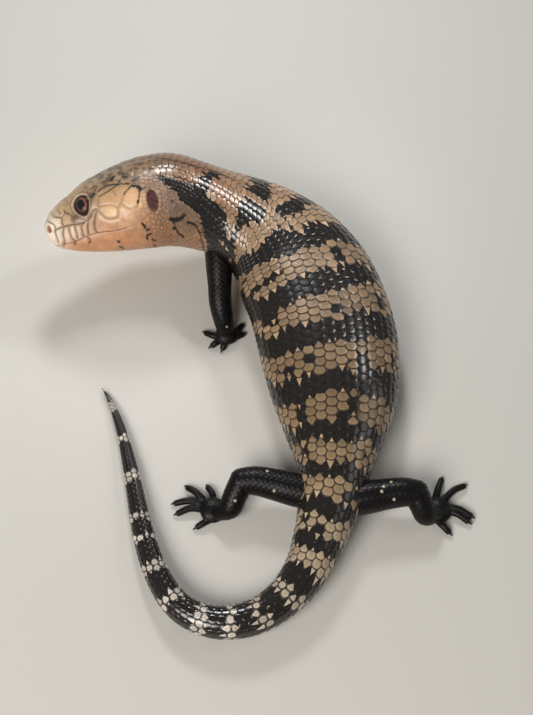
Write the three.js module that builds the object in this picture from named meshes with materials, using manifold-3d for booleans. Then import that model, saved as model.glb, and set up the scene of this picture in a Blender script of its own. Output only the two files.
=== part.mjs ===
// Blue tongued skink at rest, life size, in millimetres.
// X runs to the animal's right, Y towards its chest, Z up. The floor is at Z = 0.
// Body and tail are one loft along a bent midline, parted into lengths by flat cuts.
// Each leg is a loft of its own, let into the body, with a foot of five toes.
import * as THREE from 'three';
import { mergeVertices } from 'three/addons/utils/BufferGeometryUtils.js';
import Module from 'manifold-3d';

// Driving sizes.
const GAP = 0.3;                 // clearance between neighbouring nodes
const ORIGIN = [2.59, 11.95, 0]; // moves the box's bottom centre to the origin
const BODY_SIDES = 36;           // points round the neck, trunk and pelvis
const TAIL_SIDES = 22;
const HEAD_SIDES = 40;
const LEG_SIDES = 12;
const TOE_SIDES = 7;
const BODY_STEP = 2.6;           // ring spacing along the trunk
const TAIL_STEP = 2.2;
const HEAD_STEP = 1.4;
const SNOUT_PLACES = [0, 0.25, 0.6, 1.1, 1.7, 2.4];
const SNOUT_END = 3.2;
const LEG_STEP = 1.3;
const BALL_TURNS = [30, 60, 84]; // rings of the half ball that ends an upper leg, degrees
const ARC_SAMPLES = 4000;        // fineness of the length table of a curve
const TANGENT_REACH = 0.4;       // half the span over which a direction is taken
const SEAT_REACH = 0.5;          // the same on the skin, along the head
const SEAT_TURN = 3;             // and round it, degrees
const SAME_POINT = 1e-5;         // points closer than this are one

// Midline from the snout to the tail tip: x, y, z.
const SPINE = [
  [-52.0, 22.6, 19.6], [-44.5, 24.8, 20.4], [-37.0, 27.0, 21.2], [-29.5, 29.2, 21.6],
  [-22.5, 30.6, 20.6], [-15.5, 30.8, 18.6], [-8.3, 30.2, 16.0], [-0.9, 27.6, 13.2],
  [5.6, 22.0, 11.2], [10.4, 13.7, 10.2], [13.4, 4.3, 9.7], [14.9, -5.6, 9.3],
  [15.6, -15.6, 8.8], [15.5, -25.3, 8.0], [14.9, -34.1, 7.2], [13.5, -41.4, 6.6],
  [11.5, -48.0, 6.1], [8.6, -54.8, 5.6], [3.6, -61.0, 5.0], [-3.5, -65.2, 4.5],
  [-11.6, -65.8, 4.2], [-18.9, -62.2, 3.9], [-24.0, -54.6, 3.4], [-27.2, -45.7, 2.9],
  [-29.2, -37.3, 2.4], [-31.2, -28.8, 2.0], [-33.7, -19.8, 1.5], [-36.6, -12.4, 1.1],
  [-39.1, -8.4, 0.8],
];

// Girth by place along the midline: place, half width, height above and below the midline,
// roll of the section in degrees, squareness (2 is an ellipse).
const GIRTH = [
  [0.0, 0.4, 0.4, 0.4, 42, 2.1], [0.2, 1.4, 1.3, 1.3, 42, 2.1], [0.7, 2.6, 2.3, 2.3, 42, 2.2],
  [2.0, 4.2, 3.9, 3.9, 42, 2.3],
  [4.5, 5.6, 5.5, 5.3, 42, 2.4], [8.0, 7.0, 6.95, 6.7, 42, 2.5], [12.0, 8.3, 8.7, 7.9, 42, 2.5],
  [16.0, 9.6, 9.6, 8.8, 41, 2.5], [20.0, 10.4, 10.3, 9.6, 40, 2.4], [25.0, 10.8, 11.2, 10.1, 37, 2.3],
  [30.0, 10.5, 11.8, 10.2, 32, 2.2], [36.0, 10.2, 10.8, 10.2, 25, 2.1], [44.0, 11.2, 9.3, 10.2, 18, 2.1],
  [52.0, 13.2, 9.0, 10.2, 12, 2.1], [62.0, 15.6, 9.2, 10.7, 9, 2.1], [72.0, 16.7, 9.4, 10.6, 7, 2.1],
  [84.0, 16.7, 9.2, 10.2, 6, 2.1], [94.0, 15.9, 8.9, 9.8, 3, 2.1], [104.0, 14.0, 8.4, 9.0, 0, 2.1],
  [112.0, 11.2, 7.8, 8.0, 0, 2.1], [119.0, 8.5, 7.1, 7.2, 0, 2.1], [126.0, 7.3, 6.3, 6.5, 4, 2.1],
  [134.0, 6.1, 5.5, 6.0, 8, 2.0], [142.0, 5.1, 4.8, 5.3, 12, 2.0], [152.0, 4.2, 4.1, 4.6, 18, 2.0],
  [162.0, 3.8, 3.7, 4.2, 22, 2.0], [172.0, 3.4, 3.3, 3.8, 18, 2.0], [184.0, 2.9, 2.8, 3.2, 8, 2.0],
  [196.0, 2.5, 2.3, 2.6, 2, 2.0], [208.0, 2.0, 1.8, 2.0, 0, 2.0], [218.0, 1.5, 1.4, 1.5, 0, 2.0],
  [226.0, 1.05, 1.0, 1.0, 0, 2.0], [231.0, 0.6, 0.6, 0.7, 0, 2.0], [233.6, 0.15, 0.15, 0.15, 0, 2.0],
];

// Swellings and hollows of the head, alike on both sides:
// place, angle from the crown in degrees, rise, reach along, reach round in degrees.
const RELIEF = [
  [10.6, 55, 0.65, 3.0, 21],    // dome of the eye
  [10.4, 33, 0.25, 4.4, 12],    // brow over the eye
  [6.2, 62, -0.25, 2.6, 14],    // hollow between nostril and eye
  [2.2, 60, 0.25, 1.6, 16],     // swelling round the nostril
  [21.5, 100, 0.75, 6.0, 26],   // jaw muscle
  [17.5, 58, -0.2, 4.0, 14],    // hollow behind the eye
];

// Line of the mouth: place, angle from the crown in degrees; from the snout to the corner.
const MOUTH = [
  [1.5, 180], [1.55, 160], [1.8, 141], [2.5, 127], [3.6, 119], [5.0, 114], [6.8, 108],
  [8.6, 102], [10.5, 98], [13.0, 97], [16.0, 97], [19.0, 96], [21.0, 95],
];
const MOUTH_DEPTH = 0.7;
const MOUTH_WIDTH = 0.3;
const LIP_RISE = 0.22;           // swelling of the lip plates
const LIP_REACH = 9;             // half height of a lip in degrees
const LIP_OFFSET = 10;           // from the mouth line to the middle of a lip, degrees
const LIP_END = 19;              // place where the lips run out
const LIP_FADE = 3;
const NAPE_FADE = 3;             // length over which relief fades into the neck
const BLADE_STEPS = 40;          // rings of the blade that cuts the mouth
const BLADE_TAPER = 6;           // rings over which it thins out at each corner
const BLADE_LEAST = 0.25;        // share of its depth left at the corner
const TIP_FADE = 3;              // place before which relief fades to nothing

const EYE = { place: 10.3, angle: 55.5, radius: 3.2, sink: 0.1, long: 2.05, high: 2.65, tilt: -8 };
const EYE_ROWS = 10;
const LID = { thickness: 0.34, rise: 0.1, turns: 24, sides: 6 };
const NOSTRIL = { place: 1.5, angle: 69, long: 0.8, high: 0.55, deep: 0.8, tilt: 66, rows: 5 };
const EAR = { place: 25.05, angle: 73, long: 1.15, high: 2.7, deep: 1.3, tilt: -10, rows: 7 };

// Legs: x, y, z, radius along the bone; the upper leg starts inside the body and ends in the
// ball of the knee or elbow, the lower leg runs on from there to the ankle or wrist.
const FORELEG_LEFT = {
  upper: [[-9.8, 29.0, 14.6, 3.9], [-11.2, 24.2, 13.8, 3.7], [-11.3, 19.5, 12.0, 3.35],
    [-11.2, 15.1, 9.7, 2.95]],
  lower: [[-11.2, 15.1, 9.7, 2.9], [-11.0, 11.0, 7.4, 2.8], [-10.3, 7.8, 4.6, 2.5], [-9.8, 6.0, 2.3, 2.0]],
};
const FORELEG_RIGHT = {
  upper: [[-3.4, 31.5, 13.4, 3.9], [-5.0, 35.4, 11.2, 3.7], [-7.2, 38.7, 8.6, 3.2], [-9.2, 40.4, 6.6, 2.9]],
  lower: [[-9.2, 40.4, 6.6, 2.85], [-13.0, 41.1, 4.9, 2.7], [-16.4, 41.2, 3.6, 2.4],
    [-19.2, 41.2, 2.2, 1.95]],
};
const HINDLEG_LEFT = {
  upper: [[9.5, -37.6, 6.8, 3.9], [5.4, -36.6, 7.0, 3.8], [1.4, -35.6, 7.2, 3.55], [-2.4, -34.9, 7.4, 3.3],
    [-5.4, -35.0, 7.2, 3.1]],
  lower: [[-5.4, -35.0, 7.2, 3.0], [-6.9, -37.6, 5.8, 2.8], [-8.1, -39.9, 4.0, 2.6],
    [-10.6, -40.4, 2.2, 1.95]],
};
const HINDLEG_RIGHT = {
  upper: [[18.3, -39.2, 6.8, 3.9], [22.4, -38.6, 7.0, 3.8], [26.4, -38.0, 7.2, 3.5],
    [30.4, -37.6, 7.4, 3.3], [33.0, -37.8, 7.2, 3.1]],
  lower: [[33.0, -37.8, 7.2, 3.0], [34.3, -40.0, 5.7, 2.8], [35.4, -41.5, 3.9, 2.6],
    [37.6, -40.7, 2.2, 1.95]],
};

// Feet: palm x, y, half length, half width, turn in degrees; toes as x, y of root, knuckle, tip.
const PALM_HALF_HEIGHT = 1.7;
const PALM_SIDES = 16;
const TOE_ROOT = 0.85;           // toe radius at the palm
const TOE_KNUCKLE = 0.78;
const TOE_END = 0.7;             // toe radius where the claw grows
const CLAW_LENGTH = 1.3;
const CLAW_TIP = 0.16;
const CLAW_HEIGHT = 0.46;        // of its middle above the floor
const TOE_STEP = 1.05;
const KNUCKLE_HEIGHT = 1.15;
const FOREFOOT_LEFT = {
  palm: [-9.6, 5.4, 3.0, 2.6, 0],
  toes: [
    [[-11.0, 5.0], [-13.0, 5.4], [-14.6, 6.3]], [[-11.0, 4.2], [-12.2, 3.4], [-13.0, 2.9]],
    [[-9.8, 3.9], [-10.2, 2.9], [-10.5, 2.2]], [[-8.2, 4.8], [-6.9, 5.2], [-5.8, 5.9]],
    [[-8.0, 5.9], [-6.9, 7.0], [-6.0, 8.3]],
  ],
};
const FOREFOOT_RIGHT = {
  palm: [-20.0, 41.2, 2.7, 2.5, 0],
  toes: [
    [[-20.0, 39.6], [-20.8, 37.8], [-22.2, 36.6]], [[-21.4, 40.2], [-23.4, 39.2], [-25.3, 38.9]],
    [[-21.8, 41.2], [-24.2, 41.2], [-26.4, 41.0]], [[-21.5, 42.2], [-23.7, 43.0], [-25.7, 43.2]],
    [[-20.3, 42.7], [-21.4, 44.2], [-22.8, 45.0]],
  ],
};
const HINDFOOT_LEFT = {
  palm: [-12.0, -39.5, 3.2, 3.1, 10],
  toes: [
    [[-11.9, -37.2], [-12.3, -35.4], [-13.2, -33.9]], [[-13.8, -37.4], [-15.9, -35.2], [-17.8, -33.9]],
    [[-14.2, -38.0], [-17.4, -37.2], [-20.4, -37.6]], [[-14.0, -39.2], [-17.0, -39.0], [-19.8, -40.0]],
    [[-12.2, -41.2], [-13.9, -42.4], [-15.4, -43.2]],
  ],
};
const HINDFOOT_RIGHT = {
  palm: [38.6, -39.5, 3.0, 3.2, 0],
  toes: [
    [[38.0, -37.0], [38.9, -34.2], [39.8, -32.0]], [[39.6, -37.4], [42.2, -34.8], [44.7, -33.5]],
    [[40.4, -38.6], [43.2, -39.2], [45.8, -40.6]], [[40.2, -39.4], [42.9, -40.4], [45.0, -41.9]],
    [[38.2, -41.6], [39.4, -43.2], [40.6, -44.4]],
  ],
};

// Lengths of the body: name, from, to, sides, ring spacing, material.
const HEAD_END = 31;
const TAIL_TIP = 233.6;
const SHOULDER_REACH = [34, 72]; // places between which the forelegs may touch the body
const HIP_REACH = [104, 140];
const LENGTHS = [
  ['neck', 31, 45, BODY_SIDES, BODY_STEP, 'body_skin'],
  ['chest', 45, 63, BODY_SIDES, BODY_STEP, 'body_skin'],
  ['trunk_front', 63, 85, BODY_SIDES, BODY_STEP, 'body_skin'],
  ['trunk_rear', 85, 107, BODY_SIDES, BODY_STEP, 'body_skin'],
  ['pelvis', 107, 129, BODY_SIDES, BODY_STEP, 'body_skin'],
  ['tail_1', 129, 145, TAIL_SIDES, TAIL_STEP, 'body_skin'],
  ['tail_2', 145, 158, TAIL_SIDES, TAIL_STEP, 'body_skin'],
  ['tail_3', 158, 170, TAIL_SIDES, TAIL_STEP, 'body_skin'],
  ['tail_4', 170, 184, TAIL_SIDES, TAIL_STEP, 'body_skin'],
  ['tail_5', 184, 206, TAIL_SIDES, TAIL_STEP, 'body_skin'],
  ['tail_6', 206, TAIL_TIP, TAIL_SIDES, TAIL_STEP, 'body_skin'],
];

const MATERIALS = {
  head_skin: { color: '#c79a6e', roughness: 0.5, metalness: 0 },
  body_skin: { color: '#5f4d3b', roughness: 0.5, metalness: 0 },
  leg_skin: { color: '#17120f', roughness: 0.4, metalness: 0 },
  eye: { color: '#2a1710', roughness: 0.12, metalness: 0 },
};

const wasm = await Module();
wasm.setup();

const radians = (degrees) => degrees * Math.PI / 180;
const vec = (p) => new THREE.Vector3(p[0], p[1], p[2]);

// A smooth curve through rows of points, read by its length from the first point.
function curveThrough(points) {
  const last = points.length - 1;
  const row = (i) => points[Math.min(Math.max(i, 0), last)];
  const at = (t) => {
    const i = Math.min(Math.floor(t), last - 1);
    const f = t - i;
    const [a, b, c, d] = [row(i - 1), row(i), row(i + 1), row(i + 2)];
    return b.map((_, k) => 0.5 * (2 * b[k] + (c[k] - a[k]) * f
      + (2 * a[k] - 5 * b[k] + 4 * c[k] - d[k]) * f * f
      + (3 * b[k] - a[k] - 3 * c[k] + d[k]) * f * f * f));
  };
  const samples = [];
  for (let i = 0; i <= ARC_SAMPLES; i += 1) {
    samples.push(at(last * i / ARC_SAMPLES));
  }
  const lengths = [0];
  for (let i = 1; i <= ARC_SAMPLES; i += 1) {
    lengths.push(lengths[i - 1] + vec(samples[i]).distanceTo(vec(samples[i - 1])));
  }
  const total = lengths[ARC_SAMPLES];
  const read = (s) => {
    const place = Math.min(Math.max(s, 0), total);
    let low = 0;
    let high = ARC_SAMPLES;
    while (high - low > 1) {
      const middle = (low + high) >> 1;
      if (lengths[middle] <= place) low = middle; else high = middle;
    }
    const f = (place - lengths[low]) / (lengths[high] - lengths[low]);
    return samples[low].map((v, k) => v + (samples[high][k] - v) * f);
  };
  return { total, read };
}

// Smooth values between the rows of a table whose first column is the place.
function tableAt(table, s) {
  const n = table.length;
  let i = 0;
  while (i < n - 2 && table[i + 1][0] <= s) {
    i += 1;
  }
  const slope = (j, k) => (table[j + 1][k] - table[j][k]) / (table[j + 1][0] - table[j][0]);
  const tangent = (j, k) => {
    if (j === 0) return slope(0, k);
    if (j === n - 1) return slope(n - 2, k);
    const [before, after] = [slope(j - 1, k), slope(j, k)];
    if (before * after <= 0) return 0;
    const [h0, h1] = [table[j][0] - table[j - 1][0], table[j + 1][0] - table[j][0]];
    return (before * h1 + after * h0) / (h0 + h1);
  };
  const h = table[i + 1][0] - table[i][0];
  const t = Math.min(Math.max((s - table[i][0]) / h, 0), 1);
  return table[i].slice(1).map((v, c) => {
    const k = c + 1;
    return v * (2 * t ** 3 - 3 * t ** 2 + 1) + table[i + 1][k] * (3 * t ** 2 - 2 * t ** 3)
      + h * tangent(i, k) * (t ** 3 - 2 * t ** 2 + t) + h * tangent(i + 1, k) * (t ** 3 - t ** 2);
  });
}

const spine = curveThrough(SPINE);

// Place on the midline with its forward, up and left directions, rolled as the table says.
function frameAt(s) {
  const point = vec(spine.read(s));
  const forward = vec(spine.read(s - TANGENT_REACH)).sub(vec(spine.read(s + TANGENT_REACH))).normalize();
  const [halfWidth, above, below, roll, square] = tableAt(GIRTH, s);
  const up0 = new THREE.Vector3(0, 0, 1);
  up0.addScaledVector(forward, -up0.dot(forward)).normalize();
  const left0 = new THREE.Vector3().crossVectors(up0, forward);
  const c = Math.cos(radians(roll));
  const d = Math.sin(radians(roll));
  const up = up0.clone().multiplyScalar(c).addScaledVector(left0, -d);
  const left = left0.clone().multiplyScalar(c).addScaledVector(up0, d);
  return { point, forward, up, left, halfWidth, above, below, square };
}

const bell = (x) => Math.exp(-x * x);

// Angle of the mouth line at a place.
function mouthAngle(s) {
  const [angle] = tableAt(MOUTH, Math.min(Math.max(s, MOUTH[0][0]), MOUTH[MOUTH.length - 1][0]));
  return angle;
}

// Rise of the head's surface over the plain loft at a place and angle from the crown.
function reliefAt(s, angle) {
  const side = Math.abs(angle > 180 ? angle - 360 : angle);
  let rise = 0;
  for (const [place, centre, height, along, round] of RELIEF) {
    rise += height * bell((s - place) / along) * bell((side - centre) / round);
  }
  const lipFade = Math.min(Math.max((LIP_END - s) / LIP_FADE, 0), 1);
  for (const sign of [-1, 1]) {
    rise += LIP_RISE * lipFade * bell((side - mouthAngle(s) - sign * LIP_OFFSET) / LIP_REACH);
  }
  const headFade = Math.min(Math.max((HEAD_END - 1 - s) / NAPE_FADE, 0), 1);
  return rise * Math.min(s / TIP_FADE, 1) * headFade;
}

// Point of the body's surface; grow is added all round, the floor flattens what lies lower.
function skinPoint(s, angle, grow = 0) {
  const f = frameAt(s);
  const c = Math.cos(radians(angle));
  const d = Math.sin(radians(angle));
  const power = 2 / f.square;
  const extra = grow + (s < HEAD_END ? reliefAt(s, angle) : 0);
  const x = (f.halfWidth + extra) * Math.sign(d) * Math.abs(d) ** power;
  const y = ((c > 0 ? f.above : f.below) + extra) * Math.sign(c) * Math.abs(c) ** power;
  const p = f.point.clone().addScaledVector(f.left, x).addScaledVector(f.up, y);
  p.z = Math.max(p.z, -grow);
  return p;
}

// Closed mesh from rings of points, each ring going the same way round, capped flat at both ends.
function skinRings(rings) {
  const n = rings[0].length;
  const positions = [];
  const index = [];
  for (const ring of rings) {
    for (const p of ring) {
      positions.push(p.x, p.y, p.z);
    }
  }
  for (let i = 0; i < rings.length - 1; i += 1) {
    for (let j = 0; j < n; j += 1) {
      const a = i * n + j;
      const b = i * n + (j + 1) % n;
      index.push(a, b, a + n, b, b + n, a + n);
    }
  }
  for (const [ring, flip] of [[0, true], [rings.length - 1, false]]) {
    const centre = rings[ring].reduce((sum, p) => sum.add(p), new THREE.Vector3()).divideScalar(n);
    const hub = positions.length / 3;
    positions.push(centre.x, centre.y, centre.z);
    for (let j = 0; j < n; j += 1) {
      const a = ring * n + j;
      const b = ring * n + (j + 1) % n;
      index.push(...(flip ? [hub, b, a] : [hub, a, b]));
    }
  }
  const geometry = new THREE.BufferGeometry();
  geometry.setAttribute('position', new THREE.Float32BufferAttribute(positions, 3));
  geometry.setIndex(index);
  return geometry;
}

// Evenly spaced places from one end to the other.
function placesBetween(from, to, step) {
  const count = Math.max(2, Math.round((to - from) / step));
  return Array.from({ length: count + 1 }, (_, i) => from + (to - from) * i / count);
}

function bodyLength(from, to, sides, step, grow = 0) {
  const angles = Array.from({ length: sides }, (_, j) => 360 * j / sides);
  return skinRings(placesBetween(from, to, step).map((s) => angles.map((a) => skinPoint(s, a, grow))));
}

// Mesh made ready for joining and cutting.
function toSolid(geometry) {
  const plain = geometry.clone();
  plain.deleteAttribute('normal');
  plain.deleteAttribute('uv');
  const merged = mergeVertices(plain, SAME_POINT);
  return new wasm.Manifold(new wasm.Mesh({
    numProp: 3,
    vertProperties: new Float32Array(merged.attributes.position.array),
    triVerts: new Uint32Array(merged.index.array),
  }));
}

// Largest closed surface of a solid, as a mesh.
function toGeometry(solid) {
  const pieces = solid.decompose();
  pieces.sort((a, b) => b.volume() - a.volume());
  const mesh = pieces[0].getMesh();
  const geometry = new THREE.BufferGeometry();
  geometry.setAttribute('position', new THREE.Float32BufferAttribute(mesh.vertProperties, 3));
  geometry.setIndex(Array.from(mesh.triVerts));
  return geometry;
}

// Directions on the skin at a place: outward, along the head towards the snout, and round.
function seat(s, angle, side, tilt) {
  const here = skinPoint(s, side * angle);
  const along = skinPoint(s - SEAT_REACH, side * angle).sub(skinPoint(s + SEAT_REACH, side * angle));
  const round = skinPoint(s, side * (angle - SEAT_TURN)).sub(skinPoint(s, side * (angle + SEAT_TURN)));
  along.normalize();
  const out = new THREE.Vector3().crossVectors(round, along).multiplyScalar(side).normalize();
  const across = new THREE.Vector3().crossVectors(out, along).normalize();
  if (across.dot(round) < 0) across.negate();
  const c = Math.cos(radians(tilt));
  const d = Math.sin(radians(tilt));
  const first = along.clone().multiplyScalar(c).addScaledVector(across, d);
  const second = across.clone().multiplyScalar(c).addScaledVector(along, -d);
  return { here, out, first, second };
}

// Ellipsoid whose middle lies on the skin at a seat.
function pip(where, { long, high, deep, rows }) {
  const geometry = new THREE.SphereGeometry(1, rows * 2, rows);
  const basis = new THREE.Matrix4().makeBasis(
    where.first.clone().multiplyScalar(long),
    where.second.clone().multiplyScalar(high),
    where.out.clone().multiplyScalar(deep),
  );
  basis.setPosition(where.here);
  geometry.applyMatrix4(basis);
  return outwards(geometry);
}

// Turns a mesh the right way out when its placing mirrored it.
function outwards(geometry) {
  const p = geometry.attributes.position;
  const index = geometry.index.array;
  let volume = 0;
  for (let i = 0; i < index.length; i += 3) {
    const [a, b, c] = [0, 1, 2].map((k) => new THREE.Vector3().fromBufferAttribute(p, index[i + k]));
    volume += a.dot(b.cross(c));
  }
  if (volume < 0) {
    for (let i = 0; i < index.length; i += 3) {
      [index[i], index[i + 1]] = [index[i + 1], index[i]];
    }
  }
  return geometry;
}

// Elliptic opening between the lids, from the middle of the eyeball to outside the skin.
function lidOpening(where) {
  const rings = [-EYE.radius, EYE.radius].map((depth) => Array.from({ length: LID.turns }, (_, j) => {
    const a = 2 * Math.PI * j / LID.turns;
    return where.here.clone().addScaledVector(where.first, EYE.long * Math.cos(a))
      .addScaledVector(where.second, EYE.high * Math.sin(a)).addScaledVector(where.out, depth);
  }));
  return outwards(skinRings(rings));
}

// Rim of the lids: a round bead bent to the opening's outline.
function lidRim(where) {
  const rings = Array.from({ length: LID.turns }, (_, i) => {
    const a = 2 * Math.PI * i / LID.turns;
    const ray = where.first.clone().multiplyScalar(EYE.long * Math.cos(a))
      .addScaledVector(where.second, EYE.high * Math.sin(a));
    const centre = where.here.clone().add(ray).addScaledVector(where.out, LID.rise - lidSink(ray.length()));
    ray.normalize();
    return Array.from({ length: LID.sides }, (_, j) => {
      const b = 2 * Math.PI * j / LID.sides;
      return centre.clone().addScaledVector(ray, LID.thickness * Math.cos(b))
        .addScaledVector(where.out, LID.thickness * Math.sin(b));
    });
  });
  return outwards(closedTube(rings));
}

// Depth of the eyeball's round below its front at a distance from its axis, halved for the lid.
function lidSink(reach) {
  return 0.5 * (EYE.radius - Math.sqrt(Math.max(EYE.radius ** 2 - reach ** 2, 0)));
}

// Tube whose last ring joins its first.
function closedTube(rings) {
  const n = rings[0].length;
  const m = rings.length;
  const positions = rings.flat().flatMap((p) => [p.x, p.y, p.z]);
  const index = [];
  for (let i = 0; i < m; i += 1) {
    for (let j = 0; j < n; j += 1) {
      const a = i * n + j;
      const b = i * n + (j + 1) % n;
      const c = ((i + 1) % m) * n + j;
      const d = ((i + 1) % m) * n + (j + 1) % n;
      index.push(a, b, c, b, d, c);
    }
  }
  const geometry = new THREE.BufferGeometry();
  geometry.setAttribute('position', new THREE.Float32BufferAttribute(positions, 3));
  geometry.setIndex(index);
  return geometry;
}

// Thin blade that follows the mouth line round the snout from corner to corner.
function mouthBlade() {
  const left = MOUTH.map(([s, a]) => [s, a]).reverse();
  const right = MOUTH.slice(1).map(([s, a]) => [s, -a]);
  const stations = [...left, ...right];
  const curve = curveThrough(stations.map(([s, a]) => {
    const p = skinPoint(s, a);
    return [p.x, p.y, p.z];
  }));
  const outs = stations.map(([s, a]) => seat(s, Math.abs(a), Math.sign(a), 0).out);
  const rings = Array.from({ length: BLADE_STEPS + 1 }, (_, i) => {
    const place = curve.total * i / BLADE_STEPS;
    const p = vec(curve.read(place));
    const ahead = vec(curve.read(place + TANGENT_REACH));
    const along = ahead.sub(vec(curve.read(place - TANGENT_REACH))).normalize();
    const k = nearestStation(stations, p);
    const out = outs[k].clone().addScaledVector(along, -outs[k].dot(along)).normalize();
    const across = new THREE.Vector3().crossVectors(along, out).normalize();
    const end = Math.min(i, BLADE_STEPS - i) / BLADE_TAPER;
    const depth = MOUTH_DEPTH * Math.min(1, BLADE_LEAST + end);
    return [[-1, 1], [1, 1], [1, -1], [-1, -1]].map(([a, b]) => p.clone()
      .addScaledVector(across, a * MOUTH_WIDTH / 2)
      .addScaledVector(out, b > 0 ? depth : -depth));
  });
  return outwards(skinRings(rings));
}

function nearestStation(stations, p) {
  let best = 0;
  let least = Infinity;
  stations.forEach(([s, a], i) => {
    const d = skinPoint(s, a).distanceTo(p);
    if (d < least) {
      least = d;
      best = i;
    }
  });
  return best;
}

// Rings of the head, closer together round the snout.
function headPlaces() {
  return [...SNOUT_PLACES, ...placesBetween(SNOUT_END, HEAD_END - GAP / 2, HEAD_STEP)];
}

function eyeCentre(where) {
  return where.here.clone().addScaledVector(where.out, -(EYE.radius + EYE.sink));
}

function ball(centre, radius) {
  const geometry = new THREE.SphereGeometry(radius, EYE_ROWS * 2 - 2, EYE_ROWS);
  geometry.translate(centre.x, centre.y, centre.z);
  return geometry;
}

function makeHead() {
  const angles = Array.from({ length: HEAD_SIDES }, (_, j) => 360 * j / HEAD_SIDES);
  let head = toSolid(skinRings(headPlaces().map((s) => angles.map((a) => skinPoint(s, a)))));
  for (const side of [1, -1]) {
    const eye = seat(EYE.place, EYE.angle, side, EYE.tilt);
    const ear = seat(EAR.place, EAR.angle, side, EAR.tilt);
    const nostril = seat(NOSTRIL.place, NOSTRIL.angle, side, NOSTRIL.tilt);
    head = head.add(toSolid(lidRim(eye)));
    head = head.subtract(toSolid(ball(eyeCentre(eye), EYE.radius + GAP)));
    head = head.subtract(toSolid(lidOpening(eye)));
    head = head.subtract(toSolid(pip(ear, EAR)));
    head = head.subtract(toSolid(pip(nostril, NOSTRIL)));
  }
  return toGeometry(head.subtract(toSolid(mouthBlade())));
}

// Rings of a leg along its bone, a clearance larger by grow, ended by half a ball if asked.
function legRings(chain, grow, ball) {
  const curve = curveThrough(chain);
  const end = chain[chain.length - 1];
  const chord = vec(end).sub(vec(chain[0]));
  const level = new THREE.Vector3(chord.y, -chord.x, 0).normalize();
  const stations = placesBetween(0, curve.total, LEG_STEP).map((s) => [s, 1, 0]);
  if (ball) {
    stations.push(...BALL_TURNS.map((a) => [curve.total, Math.cos(radians(a)), Math.sin(radians(a))]));
  }
  return stations.map(([s, narrow, beyond]) => {
    const [x, y, z, bone] = curve.read(s);
    const radius = (bone + grow) * narrow;
    const ahead = vec(curve.read(s + TANGENT_REACH));
    const along = ahead.sub(vec(curve.read(s - TANGENT_REACH))).normalize();
    const side = level.clone().addScaledVector(along, -level.dot(along)).normalize();
    const up = new THREE.Vector3().crossVectors(side, along);
    const centre = new THREE.Vector3(x, y, z).addScaledVector(along, (end[3] + grow) * beyond);
    return Array.from({ length: LEG_SIDES }, (_, j) => {
      const a = 2 * Math.PI * j / LEG_SIDES;
      const p = centre.clone().addScaledVector(side, radius * Math.cos(a))
        .addScaledVector(up, radius * Math.sin(a));
      p.z = Math.max(p.z, -grow);
      return p;
    });
  });
}

const legSolid = (chain, grow, ball) => toSolid(outwards(skinRings(legRings(chain, grow, ball))));

function palmSolid([x, y, half, wide, turn]) {
  const geometry = new THREE.SphereGeometry(1, PALM_SIDES, PALM_SIDES / 2);
  geometry.scale(half, wide, PALM_HALF_HEIGHT);
  geometry.rotateZ(radians(turn));
  geometry.translate(x, y, PALM_HALF_HEIGHT - GAP);
  flatten(geometry);
  return toSolid(geometry);
}

// Presses what lies under the floor up to it.
function flatten(geometry) {
  const p = geometry.attributes.position;
  for (let i = 0; i < p.count; i += 1) {
    p.setZ(i, Math.max(p.getZ(i), 0));
  }
}

function toeSolid([root, knuckle, tip]) {
  const reach = vec([...tip, 0]).sub(vec([...knuckle, 0])).normalize();
  const claw = [tip[0] + reach.x * CLAW_LENGTH, tip[1] + reach.y * CLAW_LENGTH];
  const curve = curveThrough([
    [...root, TOE_ROOT, TOE_ROOT],
    [...knuckle, KNUCKLE_HEIGHT, TOE_KNUCKLE],
    [...tip, TOE_END, TOE_END],
    [(tip[0] + claw[0]) / 2, (tip[1] + claw[1]) / 2, CLAW_HEIGHT, (TOE_END + CLAW_TIP) / 2],
    [...claw, CLAW_TIP, CLAW_TIP],
  ]);
  const rings = placesBetween(0, curve.total, TOE_STEP).map((s) => {
    const [x, y, z, radius] = curve.read(s);
    const along = vec(curve.read(s + TANGENT_REACH)).sub(vec(curve.read(s - TANGENT_REACH))).normalize();
    const side = new THREE.Vector3(along.y, -along.x, 0).normalize();
    const up = new THREE.Vector3().crossVectors(side, along);
    return Array.from({ length: TOE_SIDES }, (_, j) => {
      const a = 2 * Math.PI * (j + 0.5) / TOE_SIDES;
      const p = new THREE.Vector3(x, y, z).addScaledVector(side, radius * Math.cos(a))
        .addScaledVector(up, radius * Math.sin(a));
      p.z = Math.max(p.z, 0);
      return p;
    });
  });
  return toSolid(outwards(skinRings(rings)));
}

function makeFoot(foot, leg) {
  let solid = palmSolid(foot.palm);
  for (const toe of foot.toes) {
    solid = solid.add(toeSolid(toe));
  }
  return toGeometry(solid.subtract(legSolid(leg.lower, GAP, false)));
}

const group = new THREE.Group();
group.name = 'blue_tongued_skink';

function place(name, geometry, slot) {
  const plain = geometry.clone();
  plain.deleteAttribute('normal');
  plain.deleteAttribute('uv');
  const moved = mergeVertices(plain, SAME_POINT);
  moved.translate(...ORIGIN);
  moved.computeVertexNormals();
  const mesh = new THREE.Mesh(moved, new THREE.MeshStandardMaterial(MATERIALS[slot]));
  mesh.material.name = slot;
  mesh.name = name;
  group.add(mesh);
}

place('head', makeHead(), 'head_skin');
for (const [name, side] of [['eye_left', 1], ['eye_right', -1]]) {
  const where = seat(EYE.place, EYE.angle, side, EYE.tilt);
  place(name, ball(eyeCentre(where), EYE.radius), 'eye');
}
for (const [name, from, to, sides, step, slot] of LENGTHS) {
  const end = to === TAIL_TIP ? to : to - GAP / 2;
  place(name, bodyLength(from + GAP / 2, end, sides, step), slot);
}

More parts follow.
